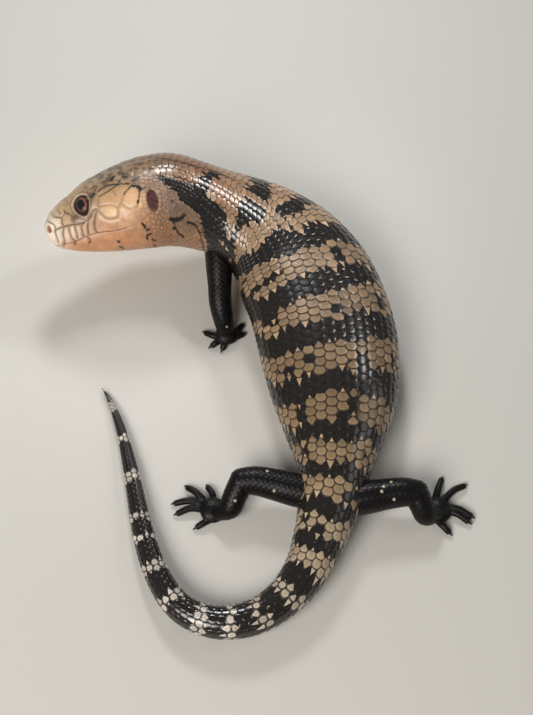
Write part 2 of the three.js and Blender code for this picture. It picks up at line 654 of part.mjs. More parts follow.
// Body around the limb roots, a clearance larger, to part the legs from it.
const shoulders = toSolid(bodyLength(...SHOULDER_REACH, BODY_SIDES, BODY_STEP, GAP));
const hips = toSolid(bodyLength(...HIP_REACH, BODY_SIDES, BODY_STEP, GAP));
const LEGS = [
  ['foreleg_left', FORELEG_LEFT, FOREFOOT_LEFT, shoulders],
  ['foreleg_right', FORELEG_RIGHT, FOREFOOT_RIGHT, shoulders],
  ['hindleg_left', HINDLEG_LEFT, HINDFOOT_LEFT, hips],
  ['hindleg_right', HINDLEG_RIGHT, HINDFOOT_RIGHT, hips],
];
for (const [name, leg, foot, trunk] of LEGS) {
  place(`${name}_upper`, toGeometry(legSolid(leg.upper, 0, true).subtract(trunk)), 'leg_skin');
  const lower = legSolid(leg.lower, 0, false).subtract(legSolid(leg.upper, GAP, true));
  place(`${name}_lower`, toGeometry(lower.subtract(trunk)), 'leg_skin');
  place(`${name}_foot`, makeFoot(foot, leg), 'leg_skin');
}

export default group;
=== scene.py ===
"""Blue tongued skink at rest, life size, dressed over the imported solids.

Shapes are worked out in millimetres in the frame of the part's own tables and moved into the
row frame, in metres, when each mesh is made. A place on the body is given by its length along
the midline from the snout and its angle round it, 0 on the back and positive on the left side.
"""

import logging  # noqa: E402
import math  # noqa: E402
from dataclasses import dataclass  # noqa: E402
from enum import Enum  # noqa: E402
from typing import Any, Protocol, Sequence  # noqa: E402

import bpy  # noqa: E402
import numpy as np  # noqa: E402
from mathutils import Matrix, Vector  # noqa: E402
from mathutils.kdtree import KDTree  # noqa: E402

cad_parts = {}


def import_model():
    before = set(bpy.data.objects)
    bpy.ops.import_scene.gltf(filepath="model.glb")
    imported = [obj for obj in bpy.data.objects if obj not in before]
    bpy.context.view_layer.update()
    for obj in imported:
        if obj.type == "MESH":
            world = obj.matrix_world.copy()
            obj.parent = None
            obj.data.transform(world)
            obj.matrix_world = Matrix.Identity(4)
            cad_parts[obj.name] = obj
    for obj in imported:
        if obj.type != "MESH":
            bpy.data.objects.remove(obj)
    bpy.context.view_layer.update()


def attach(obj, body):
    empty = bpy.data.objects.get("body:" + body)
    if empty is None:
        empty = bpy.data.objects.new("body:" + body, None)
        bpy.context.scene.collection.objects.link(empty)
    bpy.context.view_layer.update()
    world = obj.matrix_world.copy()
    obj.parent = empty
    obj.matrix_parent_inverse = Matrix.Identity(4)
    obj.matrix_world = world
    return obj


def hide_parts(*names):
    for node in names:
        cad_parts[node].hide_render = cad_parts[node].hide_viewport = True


Array = np.ndarray
LOG = logging.getLogger("skink")

MM = 0.001
ORIGIN = np.array([2.59, 11.95, 0.0])
ROOT = "root"
SEED = 62
# Least height of the skin over the floor, and how deep the body's skin lies under its scales.
FLOOR_GAP, COAT_DEPTH = 0.02, 0.33


class Slot(Enum):
    """Material slots of the record; the pieces here are not given them."""

    BODY = "body_skin"
    LEG = "leg_skin"
    EYE = "eye"


# Midline from the snout to the tail tip: x, y, z.
SPINE = np.array([
    [-52.0, 22.6, 19.6], [-44.5, 24.8, 20.4], [-37.0, 27.0, 21.2], [-29.5, 29.2, 21.6],
    [-22.5, 30.6, 20.6], [-15.5, 30.8, 18.6], [-8.3, 30.2, 16.0], [-0.9, 27.6, 13.2],
    [5.6, 22.0, 11.2], [10.4, 13.7, 10.2], [13.4, 4.3, 9.7], [14.9, -5.6, 9.3],
    [15.6, -15.6, 8.8], [15.5, -25.3, 8.0], [14.9, -34.1, 7.2], [13.5, -41.4, 6.6],
    [11.5, -48.0, 6.1], [8.6, -54.8, 5.6], [3.6, -61.0, 5.0], [-3.5, -65.2, 4.5],
    [-11.6, -65.8, 4.2], [-18.9, -62.2, 3.9], [-24.0, -54.6, 3.4], [-27.2, -45.7, 2.9],
    [-29.2, -37.3, 2.4], [-31.2, -28.8, 2.0], [-33.7, -19.8, 1.5], [-36.6, -12.4, 1.1],
    [-39.1, -8.4, 0.8],
])

# Girth by place: half width, height above and below the midline, roll in degrees, squareness.
GIRTH = np.array([
    [0.0, 0.4, 0.4, 0.4, 42, 2.1], [0.2, 1.4, 1.3, 1.3, 42, 2.1], [0.7, 2.6, 2.3, 2.3, 42, 2.2],
    [2.0, 4.2, 3.9, 3.9, 42, 2.3], [4.5, 5.6, 5.5, 5.3, 42, 2.4], [8.0, 7.0, 6.95, 6.7, 42, 2.5],
    [12.0, 8.3, 8.7, 7.9, 42, 2.5], [16.0, 9.6, 9.6, 8.8, 41, 2.5],
    [20.0, 10.4, 10.3, 9.6, 40, 2.4], [25.0, 10.8, 11.2, 10.1, 37, 2.3],
    [30.0, 10.5, 11.8, 10.2, 32, 2.2], [36.0, 10.2, 10.8, 10.2, 25, 2.1],
    [44.0, 11.2, 9.3, 10.2, 18, 2.1], [52.0, 13.2, 9.0, 10.2, 12, 2.1],
    [62.0, 15.6, 9.2, 10.7, 9, 2.1], [72.0, 16.7, 9.4, 10.6, 7, 2.1],
    [84.0, 16.7, 9.2, 10.2, 6, 2.1], [94.0, 15.9, 8.9, 9.8, 3, 2.1],
    [104.0, 14.0, 8.4, 9.0, 0, 2.1], [112.0, 11.2, 7.8, 8.0, 0, 2.1],
    [119.0, 8.5, 7.1, 7.2, 0, 2.1], [126.0, 7.3, 6.3, 6.5, 4, 2.1],
    [134.0, 6.1, 5.5, 6.0, 8, 2.0], [142.0, 5.1, 4.8, 5.3, 12, 2.0],
    [152.0, 4.2, 4.1, 4.6, 18, 2.0], [162.0, 3.8, 3.7, 4.2, 22, 2.0],
    [172.0, 3.4, 3.3, 3.8, 18, 2.0], [184.0, 2.9, 2.8, 3.2, 8, 2.0],
    [196.0, 2.5, 2.3, 2.6, 2, 2.0], [208.0, 2.0, 1.8, 2.0, 0, 2.0],
    [218.0, 1.5, 1.4, 1.5, 0, 2.0], [226.0, 1.05, 1.0, 1.0, 0, 2.0],
    [231.0, 0.6, 0.6, 0.7, 0, 2.0], [233.6, 0.15, 0.15, 0.15, 0, 2.0],
])

# Swellings and hollows of the head: place, angle, rise, reach along, reach round.
RELIEF = np.array([
    [10.6, 55, 0.65, 3.0, 21], [10.4, 33, 0.25, 4.4, 12], [6.2, 62, -0.25, 2.6, 14],
    [2.2, 60, 0.25, 1.6, 16], [21.5, 100, 0.75, 6.0, 26], [17.5, 58, -0.2, 4.0, 14],
])

# Line of the mouth: place, angle.
MOUTH = np.array([
    [1.5, 180], [1.55, 160], [1.8, 141], [2.5, 127], [3.6, 119], [5.0, 114], [6.8, 108],
    [8.6, 102], [10.5, 98], [13.0, 97], [16.0, 97], [19.0, 96], [21.0, 95],
])
# The two lips beside that line: rise, angle from it, reach round, and where they fade out.
LIP_RISE, LIP_OFFSET, LIP_REACH, LIP_END, LIP_FADE = 0.22, 10.0, 9.0, 19.0, 3.0
# Lengths over which the head's relief fades in behind the snout and out on the nape.
TIP_FADE, NAPE_FADE = 3.0, 3.0
HEAD_END, NECK_END, TAIL_TIP = 31.0, 57.8, 233.6
# How much narrower the rows of scales are on the flanks.
FLANK_CROWDING = 0.12


def unit(v: Array) -> Array:
    """Rows of v at length one."""
    return v / np.maximum(np.linalg.norm(v, axis=-1, keepdims=True), 1e-12)


def smoothstep(low: float, high: float, x: Array) -> Array:
    """Soft step from 0 at low to 1 at high."""
    t = np.clip((np.asarray(x, float) - low) / (high - low), 0.0, 1.0)
    return t * t * (3 - 2 * t)


def off_back(angle: Array) -> Array:
    """Angle from the back, the same on both sides."""
    return np.abs((np.asarray(angle, float) + 180) % 360 - 180)


def swell(s: Array, side: Array, place: float, centre: float, along: float, around: float) -> Array:
    """1 at a place and angle, falling away along and round the body."""
    return np.exp(-(((s - place) / along) ** 2) - ((side - centre) / around) ** 2)


def straight(table: Sequence[Sequence[float]], x: Array) -> Array:
    """Values on straight lines between the rows of a table of two columns."""
    return np.interp(x, *np.transpose(table))


def above_floor(p: Array, grow: Array | float) -> Array:
    """The points, with what would lie under the floor pressed up to it."""
    p[..., 2] = np.maximum(p[..., 2], np.maximum(FLOOR_GAP - np.asarray(grow), 0.0))
    return p


def table_at(table: Array, x: Array) -> Array:
    """Smooth values between the rows of a table.

    Args:
        table: Rows of a place and its values.
        x: Places to read.

    Returns:
        The values at x, one more axis than x has.
    """
    at, y = table[:, 0], table[:, 1:]
    step = np.diff(at)[:, None]
    slope = np.diff(y, axis=0) / step
    tangent = np.zeros_like(y)
    tangent[0], tangent[-1] = slope[0], slope[-1]
    tangent[1:-1] = (slope[:-1] * step[1:] + slope[1:] * step[:-1]) / (step[1:] + step[:-1])
    tangent[1:-1][slope[:-1] * slope[1:] <= 0] = 0
    i = np.clip(np.searchsorted(at, x, side="right") - 1, 0, len(at) - 2)
    width = (at[i + 1] - at[i])[..., None]
    t = np.clip((x - at[i])[..., None] / width, 0, 1)
    return (
        y[i] * (2 * t**3 - 3 * t**2 + 1)
        + y[i + 1] * (3 * t**2 - 2 * t**3)
        + width * tangent[i] * (t**3 - 2 * t**2 + t)
        + width * tangent[i + 1] * (t**3 - t**2)
    )


def inside(polygon: Sequence[Sequence[float]], x: Array, y: Array) -> Array:
    """True where the points x, y lie in a polygon."""
    found = np.zeros(np.broadcast(x, y).shape, bool)
    for (x0, y0), (x1, y1) in zip(polygon, [*polygon[1:], polygon[0]]):
        if y0 == y1:
            continue
        crosses = (y0 > y) != (y1 > y)
        found ^= crosses & (x < (x1 - x0) * (y - y0) / (y1 - y0) + x0)
    return found


class Curve:
    """Smooth curve through rows of points, read by its length."""

    SAMPLES = 4000

    def __init__(self, rows: Sequence[Sequence[float]]) -> None:
        """Measures the curve.

        Args:
            rows: Points, of which the first three columns are a place.
        """
        knots = np.asarray(rows, float)
        last = len(knots) - 1
        t = np.linspace(0, last, self.SAMPLES + 1)
        i = np.minimum(t.astype(int), last - 1)
        f = (t - i)[:, None]
        a, b, c, d = (knots[np.clip(i + k, 0, last)] for k in (-1, 0, 1, 2))
        self.points = 0.5 * (
            2 * b + (c - a) * f + (2 * a - 5 * b + 4 * c - d) * f**2
            + (3 * b - a - 3 * c + d) * f**3
        )
        steps = np.linalg.norm(np.diff(self.points[:, :3], axis=0), axis=1)
        self.lengths = np.concatenate([[0.0], np.cumsum(steps)])
        self.total = float(self.lengths[-1])

    def read(self, s: Array) -> Array:
        """The rows at lengths s."""
        return np.stack([np.interp(s, self.lengths, column) for column in self.points.T], -1)


class Surface(Protocol):
    """What scales and skins grow on: points read by a place and an angle."""

    def skin(self, s: Array, angle: Array, grow: Array | float = 0.0) -> Array:
        """Points of the surface."""

    def angle_of(self, s: Array, turn: Array) -> Array:
        """Angle at a share of the way round."""


def normals(surface: Surface, s: Array, angle: Array) -> Array:
    """Directions away from a surface that runs rearwards with s and to the left with angle."""
    ds, da = 0.12, 1.2
    along = surface.skin(s + ds, angle) - surface.skin(s - ds, angle)
    around = surface.skin(s, angle + da) - surface.skin(s, angle - da)
    return unit(np.cross(around, along))


class Body:
    """Loft of the head, body and tail along the bent midline."""

    STEP = 0.1
    TURN_STEP = 0.5
    CHUNK = 20000

    def __init__(self) -> None:
        """Tabulates the midline's frames."""
        spine = Curve(SPINE)
        s = np.arange(-1.0, TAIL_TIP + 1.0, self.STEP)
        point = spine.read(np.clip(s, 0, spine.total))
        forward = unit(spine.read(s - 0.4) - spine.read(s + 0.4))
        forward[s < -0.3] = forward[np.searchsorted(s, 0.0)]
        girth = table_at(GIRTH, s)
        up0 = np.tile([0.0, 0.0, 1.0], (len(s), 1))
        up0 = unit(up0 - forward * (up0 * forward).sum(-1, keepdims=True))
        left0 = np.cross(up0, forward)
        roll = np.radians(girth[:, 3:4])
        up = up0 * np.cos(roll) - left0 * np.sin(roll)
        left = left0 * np.cos(roll) + up0 * np.sin(roll)
        self.s = s
        self.rows = np.concatenate([point, forward, up, left, girth[:, [0, 1, 2, 4]]], 1)
        self.turn_table = self._turns()

    def frames(self, s: Array) -> tuple[Array, Array, Array, Array]:
        """Midline point, up, left and girth at places s."""
        x = np.clip((np.asarray(s, float) - self.s[0]) / self.STEP, 0, len(self.s) - 1.001)
        i = x.astype(int)
        f = (x - i)[..., None]
        row = self.rows[i] * (1 - f) + self.rows[i + 1] * f
        return row[..., 0:3], row[..., 6:9], row[..., 9:12], row[..., 12:16]

    def relief(self, s: Array, angle: Array) -> Array:
        """Rise of the head over the plain loft."""
        side = off_back(angle)
        rise = np.zeros(np.shape(s))
        for place, centre, height, along, around in RELIEF:
            rise += height * swell(s, side, place, centre, along, around)
        lips = LIP_RISE * np.clip((LIP_END - s) / LIP_FADE, 0, 1)
        mouth = table_at(MOUTH, np.clip(s, MOUTH[0, 0], MOUTH[-1, 0]))[..., 0]
        for sign in (-1, 1):
            rise += lips * np.exp(-(((side - mouth - sign * LIP_OFFSET) / LIP_REACH) ** 2))
        fade = np.clip(s / TIP_FADE, 0, 1) * np.clip((HEAD_END - 1 - s) / NAPE_FADE, 0, 1)
        return rise * fade

    def skin(self, s: Array, angle: Array, grow: Array | float = 0.0) -> Array:
        """Points of the body's surface.

        Args:
            s: Places along the midline.
            angle: Angles round it, in degrees.
            grow: Height over the plain surface.

        Returns:
            Points, with what would lie under the floor pressed up to it.
        """
        s, angle = np.broadcast_arrays(np.asarray(s, float), np.asarray(angle, float))
        point, up, left, girth = self.frames(s)
        c, d = np.cos(np.radians(angle)), np.sin(np.radians(angle))
        power = 2 / girth[..., 3]
        extra = grow + np.where(s < HEAD_END, self.relief(s, angle), 0)
        x = (girth[..., 0] + extra) * np.sign(d) * np.abs(d) ** power
        high = np.where(c > 0, girth[..., 1], girth[..., 2])
        y = (high + extra) * np.sign(c) * np.abs(c) ** power
        return above_floor(point + left * x[..., None] + up * y[..., None], grow)

    def _turns(self) -> Array:
        """Table of angle by place and share of the way round, both ways from the back."""
        self.turn_s = np.arange(0.0, TAIL_TIP + self.TURN_STEP, self.TURN_STEP)
        angle = np.linspace(0, 180, 181)
        grid_s, grid_a = np.meshgrid(self.turn_s, angle, indexing="ij")
        p = self.skin(grid_s, grid_a)
        steps = np.linalg.norm(np.diff(p, axis=1), axis=2)
        length = np.concatenate([np.zeros((len(p), 1)), np.cumsum(steps, 1)], 1)
        self.half_way_round = length[:, -1]
        share = np.linspace(0, 1, 181)
        return np.stack([np.interp(share * row[-1], row, angle) for row in length])

    def per_degree(self, s: Array) -> Array:
        """Millimetres to a degree round the body."""
        return np.interp(s, self.turn_s, self.half_way_round) / 180

    def angle_of(self, s: Array, turn: Array) -> Array:
        """Angle at a share of the way round.

        Args:
            s: Places.
            turn: Shares of a full turn from the back, positive on the left.

        Returns:
            Angles in degrees.
        """
        turn = self.crowd(turn)
        x = np.clip(s / self.TURN_STEP, 0, len(self.turn_s) - 1.001)
        y = np.clip(np.abs(turn) * 360, 0, 179.999)
        i, j = x.astype(int), y.astype(int)
        f, g = x - i, y - j
        t = self.turn_table
        found = (t[i, j] * (1 - f) + t[i + 1, j] * f) * (1 - g)
        found = found + (t[i, j + 1] * (1 - f) + t[i + 1, j + 1] * f) * g
        return np.sign(turn) * (found + np.maximum(np.abs(turn) * 360 - 180, 0))

    def crowd(self, turn: Array) -> Array:
        """Shares of the way round, moved so that rows on the flanks are narrower."""
        return turn + FLANK_CROWDING * np.sin(4 * np.pi * np.asarray(turn)) / (4 * np.pi)

    def ratio(self, p: Array) -> Array:
        """Distance of points from the midline over the body's radius there.

        Args:
            p: Points in millimetres, near the body.

        Returns:
            1 for a point on the surface, less inside and more outside.
        """
        found_s = np.empty(len(p))
        centres = self.rows[::5, 0:3]
        places = self.s[::5]
        for k in range(0, len(p), self.CHUNK):
            q = p[k : k + self.CHUNK]
            d = (q**2).sum(1)[:, None] - 2 * q @ centres.T + (centres**2).sum(1)[None]
            found_s[k : k + self.CHUNK] = places[d.argmin(1)]
        for _ in range(3):
            i = np.clip(((found_s - self.s[0]) / self.STEP).astype(int), 0, len(self.s) - 1)
            ahead = self.rows[i, 3:6]
            point = self.frames(found_s)[0]
            found_s = np.clip(found_s - ((p - point) * ahead).sum(1) * 0.8, 0.0, TAIL_TIP)
        point, up, left, girth = self.frames(found_s)
        x = ((p - point) * left).sum(1)
        y = ((p - point) * up).sum(1)
        q = girth[:, 3]
        high = np.where(y > 0, girth[:, 1], girth[:, 2])
        return (np.abs(x / girth[:, 0]) ** q + np.abs(y / high) ** q) ** (1 / q)


class Round:
    """A shape with its scales spaced evenly round it."""

    def angle_of(self, s: Array, turn: Array) -> Array:
        """Angle at a share of the way round."""
        return np.asarray(turn) * 360


class Tube(Round):
    """Round limb or toe along a smooth line of points with radii, ended by half a ball."""

    def __init__(self, rows: Sequence[Sequence[float]]) -> None:
        """Measures the limb.

        Args:
            rows: x, y, z and radius from the root to the end.
        """
        self.curve = Curve(rows)
        self.total = self.curve.total
        chord = np.asarray(rows[-1][:3], float) - np.asarray(rows[0][:3], float)
        self.level = unit(np.array([chord[1], -chord[0], 0.0]))
        self.end_radius = float(rows[-1][3])

    def axis(self, s: Array) -> tuple[Array, Array, Array, Array]:
        """Centre with radius, and the directions along, aside and up."""
        row = self.curve.read(s)
        ahead = self.curve.read(s + 0.4)[..., :3]
        along = unit(ahead - self.curve.read(s - 0.4)[..., :3])
        side = unit(self.level - along * (along @ self.level)[..., None])
        return row, along, side, np.cross(side, along)

    def skin(self, s: Array, angle: Array, grow: Array | float = 0.0) -> Array:
        """Points of the limb; past its end they follow half a ball."""
        s, angle, grow = np.broadcast_arrays(
            np.asarray(s, float), np.asarray(angle, float), np.asarray(grow, float)
        )
        row, along, side, up = self.axis(np.clip(s, 0, self.total))
        over = np.clip((s - self.total) / self.end_radius, 0, 1.55)
        radius = (row[..., 3] + grow) * np.cos(over)
        beyond = (row[..., 3] + grow) * np.sin(over)
        a = np.radians(angle)[..., None]
        p = row[..., :3] + along * beyond[..., None]
        return above_floor(p + (up * np.cos(a) + side * np.sin(a)) * radius[..., None], grow)

    def cover(self, p: Array) -> Array:
        """Depth of points under the limb's surface."""
        centre = self.curve.points[::40]
        d = np.linalg.norm(p[:, None, :] - centre[None, :, :3], axis=2) - centre[None, :, 3]
        return -d.min(1)


class Palm(Round):
    """Flattened pad of a foot."""

    HALF_HEIGHT = 1.7
    LIFT = 1.4

    def __init__(self, row: Sequence[float], toes: Sequence[Any]) -> None:
        """Sets the pad.

        Args:
            row: x, y, half length, half width, turn in degrees.
            toes: The foot's toes, which say where forward is.
        """
        x, y, half, wide, turn = row
        self.centre = np.array([x, y, self.LIFT])
        a = math.radians(turn)
        long = np.array([math.cos(a), math.sin(a), 0])
        across = np.array([-math.sin(a), math.cos(a), 0])
        tip = np.mean([[*t[2], 0.0] for t in toes], 0) - [x, y, 0]
        if abs(tip @ across) > abs(tip @ long):
            long, across, half, wide = across, -long, wide, half
        if tip @ long < 0:
            long, across = -long, -across
        self.long, self.across, self.half, self.wide = long, -across, half, wide
        self.total = 2.0 * half

    def skin(self, s: Array, angle: Array, grow: Array | float = 0.0) -> Array:
        """Points of the pad, from the heel to the toes."""
        s, angle, grow = np.broadcast_arrays(
            np.asarray(s, float), np.asarray(angle, float), np.asarray(grow, float)
        )
        x = np.clip(s / self.half - 1, -0.999, 0.999)
        ring = np.sqrt(1 - x**2)
        a = np.radians(angle)
        p = self.centre + self.long * (x * (self.half + grow))[..., None]
        p = p + self.across * (ring * np.sin(a) * (self.wide + grow))[..., None]
        p[..., 2] += ring * np.cos(a) * (self.HALF_HEIGHT + grow)
        return above_floor(p, grow)

    def cover(self, p: Array) -> Array:
        """Depth of points under the pad's surface, roughly."""
        q = p - self.centre
        x, y = q @ self.long / self.half, q @ self.across / self.wide
        z = q[:, 2] / self.HALF_HEIGHT
        return (1 - np.sqrt(x**2 + y**2 + z**2)) * min(self.half, self.wide)


@dataclass
class Limb:
    """Leg with a foot of five toes, in the part's own figures."""

    name: str
    upper: Sequence[Sequence[float]]
    lower: Sequence[Sequence[float]]
    palm: Sequence[float]
    toes: Sequence[Sequence[Sequence[float]]]
    toe_radii: tuple[float, float, float] = (0.85, 0.78, 0.7)
    knuckle_height: float = 1.15

    def __post_init__(self) -> None:
        """Makes the limb's surfaces."""
        self.thigh = Tube(self.upper)
        self.shin = Tube(self.lower)
        self.pad = Palm(self.palm, self.toes)
        root, knuckle, end = self.toe_radii
        self.digits = [
            Tube([[*a, root, root], [*b, self.knuckle_height, knuckle], [*c, end, end]])
            for a, b, c in self.toes
        ]
        self.shapes = (self.thigh, self.shin, self.pad, *self.digits)


LIMBS = [
    Limb(
        "foreleg_left",
        [[-9.8, 29.0, 14.6, 3.9], [-11.2, 24.2, 13.8, 3.7], [-11.3, 19.5, 12.0, 3.35],
         [-11.2, 15.1, 9.7, 2.95]],
        [[-11.2, 15.1, 9.7, 2.9], [-11.0, 11.0, 7.4, 2.8], [-10.3, 7.8, 4.6, 2.5],
         [-9.8, 6.0, 2.3, 2.0]],
        [-9.6, 5.4, 3.0, 2.6, 0],
        [[[-11.0, 5.0], [-13.0, 5.4], [-14.6, 6.3]], [[-11.0, 4.2], [-12.2, 3.4], [-13.0, 2.9]],
         [[-9.8, 3.9], [-10.2, 2.9], [-10.5, 2.2]], [[-8.2, 4.8], [-6.9, 5.2], [-5.8, 5.9]],
         [[-8.0, 5.9], [-6.9, 7.0], [-6.0, 8.3]]],
    ),
    Limb(
        "foreleg_right",
        [[-3.4, 31.5, 13.4, 3.9], [-5.0, 35.4, 11.2, 3.7], [-7.2, 38.7, 8.6, 3.2],
         [-9.2, 40.4, 6.6, 2.9]],
        [[-9.2, 40.4, 6.6, 2.85], [-13.0, 41.1, 4.9, 2.7], [-16.4, 41.2, 3.6, 2.4],
         [-19.2, 41.2, 2.2, 1.95]],
        [-20.0, 41.2, 2.7, 2.5, 0],
        [[[-20.0, 39.6], [-20.8, 37.8], [-22.2, 36.6]],
         [[-21.4, 40.2], [-23.4, 39.2], [-25.3, 38.9]],
         [[-21.8, 41.2], [-24.2, 41.2], [-26.4, 41.0]],
         [[-21.5, 42.2], [-23.7, 43.0], [-25.7, 43.2]],
         [[-20.3, 42.7], [-21.4, 44.2], [-22.8, 45.0]]],
    ),
    Limb(
        "hindleg_left",
        [[9.5, -37.6, 6.8, 3.9], [5.4, -36.6, 7.0, 3.8], [1.4, -35.6, 7.2, 3.55],
         [-2.4, -34.9, 7.4, 3.3], [-5.4, -35.0, 7.2, 3.1]],
        [[-5.4, -35.0, 7.2, 3.0], [-6.9, -37.6, 5.8, 2.8], [-8.1, -39.9, 4.0, 2.6],
         [-10.6, -40.4, 2.2, 1.95]],
        [-12.0, -39.5, 3.2, 3.1, 10],
        [[[-11.9, -37.2], [-12.3, -35.4], [-13.2, -33.9]],
         [[-13.8, -37.4], [-15.9, -35.2], [-17.8, -33.9]],
         [[-14.2, -38.0], [-17.4, -37.2], [-20.4, -37.6]],
         [[-14.0, -39.2], [-17.0, -39.0], [-19.8, -40.0]],
         [[-12.2, -41.2], [-13.9, -42.4], [-15.4, -43.2]]],
    ),
    Limb(
        "hindleg_right",
        [[18.3, -39.2, 6.8, 3.9], [22.4, -38.6, 7.0, 3.8], [26.4, -38.0, 7.2, 3.5],
         [30.4, -37.6, 7.4, 3.3], [33.0, -37.8, 7.2, 3.1]],
        [[33.0, -37.8, 7.2, 3.0], [34.3, -40.0, 5.7, 2.8], [35.4, -41.5, 3.9, 2.6],
         [37.6, -40.7, 2.2, 1.95]],
        [38.6, -39.5, 3.0, 3.2, 0],
        [[[38.0, -37.0], [38.9, -34.2], [39.8, -32.0]],
         [[39.6, -37.4], [42.2, -34.8], [44.7, -33.5]],
         [[40.4, -38.6], [43.2, -39.2], [45.8, -40.6]],
         [[40.2, -39.4], [42.9, -40.4], [45.0, -41.9]],
         [[38.2, -41.6], [39.4, -43.2], [40.6, -44.4]]],
    ),
]


Polygon = list[tuple[float, float]]

# Trunk bands at these angles: where each begins and where it ends along the midline.
BAND_ANGLES = (-180, -90, -60, -30, 0, 30, 60, 90, 180)
BAND_FRONTS = (
    (66, 68, 70, 68, 67.5, 65, 62, 59, 66), (78, 76, 77.5, 79, 79.8, 80.3, 82, 80, 78),
    (90, 91, 91, 92, 92.5, 93, 94, 91, 90), (104, 105, 105, 105, 104, 105, 106, 105, 104),
    (113.5, 115, 115, 115, 114.7, 114.7, 115, 114, 113.5),
    (121.5, 123.5, 124, 124, 123.6, 123.3, 122.8, 122, 121.5),
)
BAND_ENDS = (
    (74, 73, 74, 74, 73.5, 74.5, 75.6, 66, 74), (86, 80, 86, 85, 86, 87, 88, 84, 86),
    (99, 96, 99, 98.5, 99.5, 100, 100.5, 97, 99),
    (111, 109, 111.5, 111, 110.5, 111, 111.5, 109.5, 111),
    (120, 118.5, 120, 119.7, 119.7, 119.6, 120, 118.5, 120),
    (128, 126.5, 128.3, 128.8, 128.2, 127.5, 128.3, 126.5, 128),
)
# Bands round the tail: where each begins and ends.
TAIL_BANDS = (
    (132, 136.5), (139.5, 144), (149, 151.5), (155.5, 158.6), (162.5, 165), (168.8, 171.3),
    (176.2, 178.8), (184.6, 187.2), (192.4, 193.6), (197.2, 199.3), (207.3, 210),
    (217.3, 219.7), (226.3, 228.8),
)
# Dark places inside the bands: place, angle, reach along, reach round.
HOLES = (
    (82.5, -50, 1.4, 7), (97, -20, 1.6, 7), (107.5, -18, 2.2, 6), (108.3, 42, 1.3, 7),
    (117.4, -45, 1.2, 6), (117.4, 45, 1.2, 7), (71.0, 48, 0.8, 24), (84.5, 48, 1.0, 4),
    (98, 48, 1.0, 6), (96.5, -64, 1.2, 6), (134, 46, 1.3, 9), (141.5, 44, 1.2, 8),
)
# Dark stripe on each side of the neck, and the other dark and light patches of nape and neck.
STRIPE: Polygon = [
    (26.3, 36), (27.7, 36), (28, 41), (29, 43), (34.3, 42), (35, 40), (37, 39), (36.7, 46),
    (38.2, 47), (39.3, 49), (41.3, 52), (42.6, 57), (43.3, 70), (44.7, 79), (46.2, 76),
    (45.7, 62), (46.6, 55), (47.3, 56), (47.3, 70), (48.7, 82), (50.2, 91), (53.3, 93),
    (53, 84), (52.3, 72), (54.5, 60), (57, 50), (58, 45), (60, 45), (60, 150), (42, 150),
    (41.5, 128), (40, 112), (38.7, 98), (37.3, 86), (36, 76), (35, 72), (32.3, 68), (31, 70),
    (30, 58), (28, 53), (26.8, 46),
]
NAPE_DARK: list[Polygon] = [
    [(34.8, 38), (35.4, 30), (35.7, 22), (36.6, 8), (38, -3), (40.2, -2), (39, 8), (37.8, 20),
     (37.2, 30), (37, 38)],
    [(45.4, 52), (47.6, 54), (49.2, 40), (49.5, 32), (53, 31), (52, 14), (53, 9), (46.5, 5),
     (45.6, 26), (45.2, 40)],
    [(46, -4), (51.3, -4), (51, -28), (50, -50), (46, -50), (47, -14)],
    [(54, -2), (57.7, -2), (59, -25), (59, -60), (56, -60), (55.7, -30)],
]
NAPE_LIGHT: list[Polygon] = [
    [(41.6, 94), (43, 90), (46.7, 90), (46.8, 93.5), (44, 95)],
    [(48.5, 101), (51, 98), (51.2, 103), (49, 106)],
    [(34.2, 84), (36.4, 82), (37.6, 90), (39.4, 104), (41.9, 132), (41.2, 132), (38.8, 105),
     (36.9, 92)],
    [(57.5, 0), (59, -25), (59, -60), (64, -60), (64, -35), (62.3, -20), (62, 0)],
    [(57.6, 12), (60.5, 11), (60, 4), (57.6, 4)],
]
# Small dark marks of the head and neck: half width, then a line of places and angles.
STREAKS = (
    (0.33, ((16.1, 113.5), (16.1, 117))), (0.3, ((16.0, 129), (16.6, 138))),
    (0.3, ((22.3, 94), (22.7, 98.5))), (0.26, ((23.0, 102), (23.5, 101))),
    (0.3, ((22.7, 117), (22.7, 110), (23.7, 108))), (0.34, ((24.0, 119), (24.6, 123))),
    (0.3, ((24.4, 134), (24.9, 143))), (0.2, ((29.1, 70), (29.1, 72))),
    (0.14, ((15.0, 51), (18.0, 46), (19.6, 42), (20.3, 42), (20.8, 45))),
    (0.22, ((15.2, 42), (15.8, 39.5), (17.3, 37.3), (18.7, 39), (19.6, 41))),
    (0.4, ((18.5, 30), (19.2, 25))), (0.3, ((21.0, 32), (21.5, 34))),
    (0.18, ((19.8, 36), (20.1, 38))),
    (0.22, ((21.1, 44), (21.5, 46))), (0.12, ((20.1, 59.5), (21.7, 51), (22.1, 49))),
    (0.34, ((22.2, 50.5), (23.0, 52.5), (23.3, 58))), (0.14, ((23.4, 57), (24.0, 56))),
    (0.1, ((23.1, 60), (22.7, 68))), (0.22, ((22.5, 71), (22.3, 73.5))),
    (0.3, ((22.4, 42.5), (23.0, 41.5))), (0.16, ((23.3, 39), (23.5, 39))),
    (0.3, ((25.7, 26), (26.4, 27))), (0.3, ((13.5, 49), (14.1, 45.5))),
    (0.13, ((14.4, 40), (14.9, 34))),
    (0.4, ((28.7, 90.5), (29.7, 91), (31.3, 88), (32.4, 82))), (0.26, ((30.4, 88), (29.6, 94))),
    (0.34, ((29.6, 101), (30.7, 102), (31.4, 108), (32.9, 110), (33.1, 113))),
    (0.3, ((30.0, 98.5), (30.4, 102))), (0.3, ((33.3, 88.5), (34.7, 87), (36.0, 88.5))),
    (0.2, ((36.0, 88.5), (37.6, 97.5), (39.0, 113), (40.3, 130))),
)
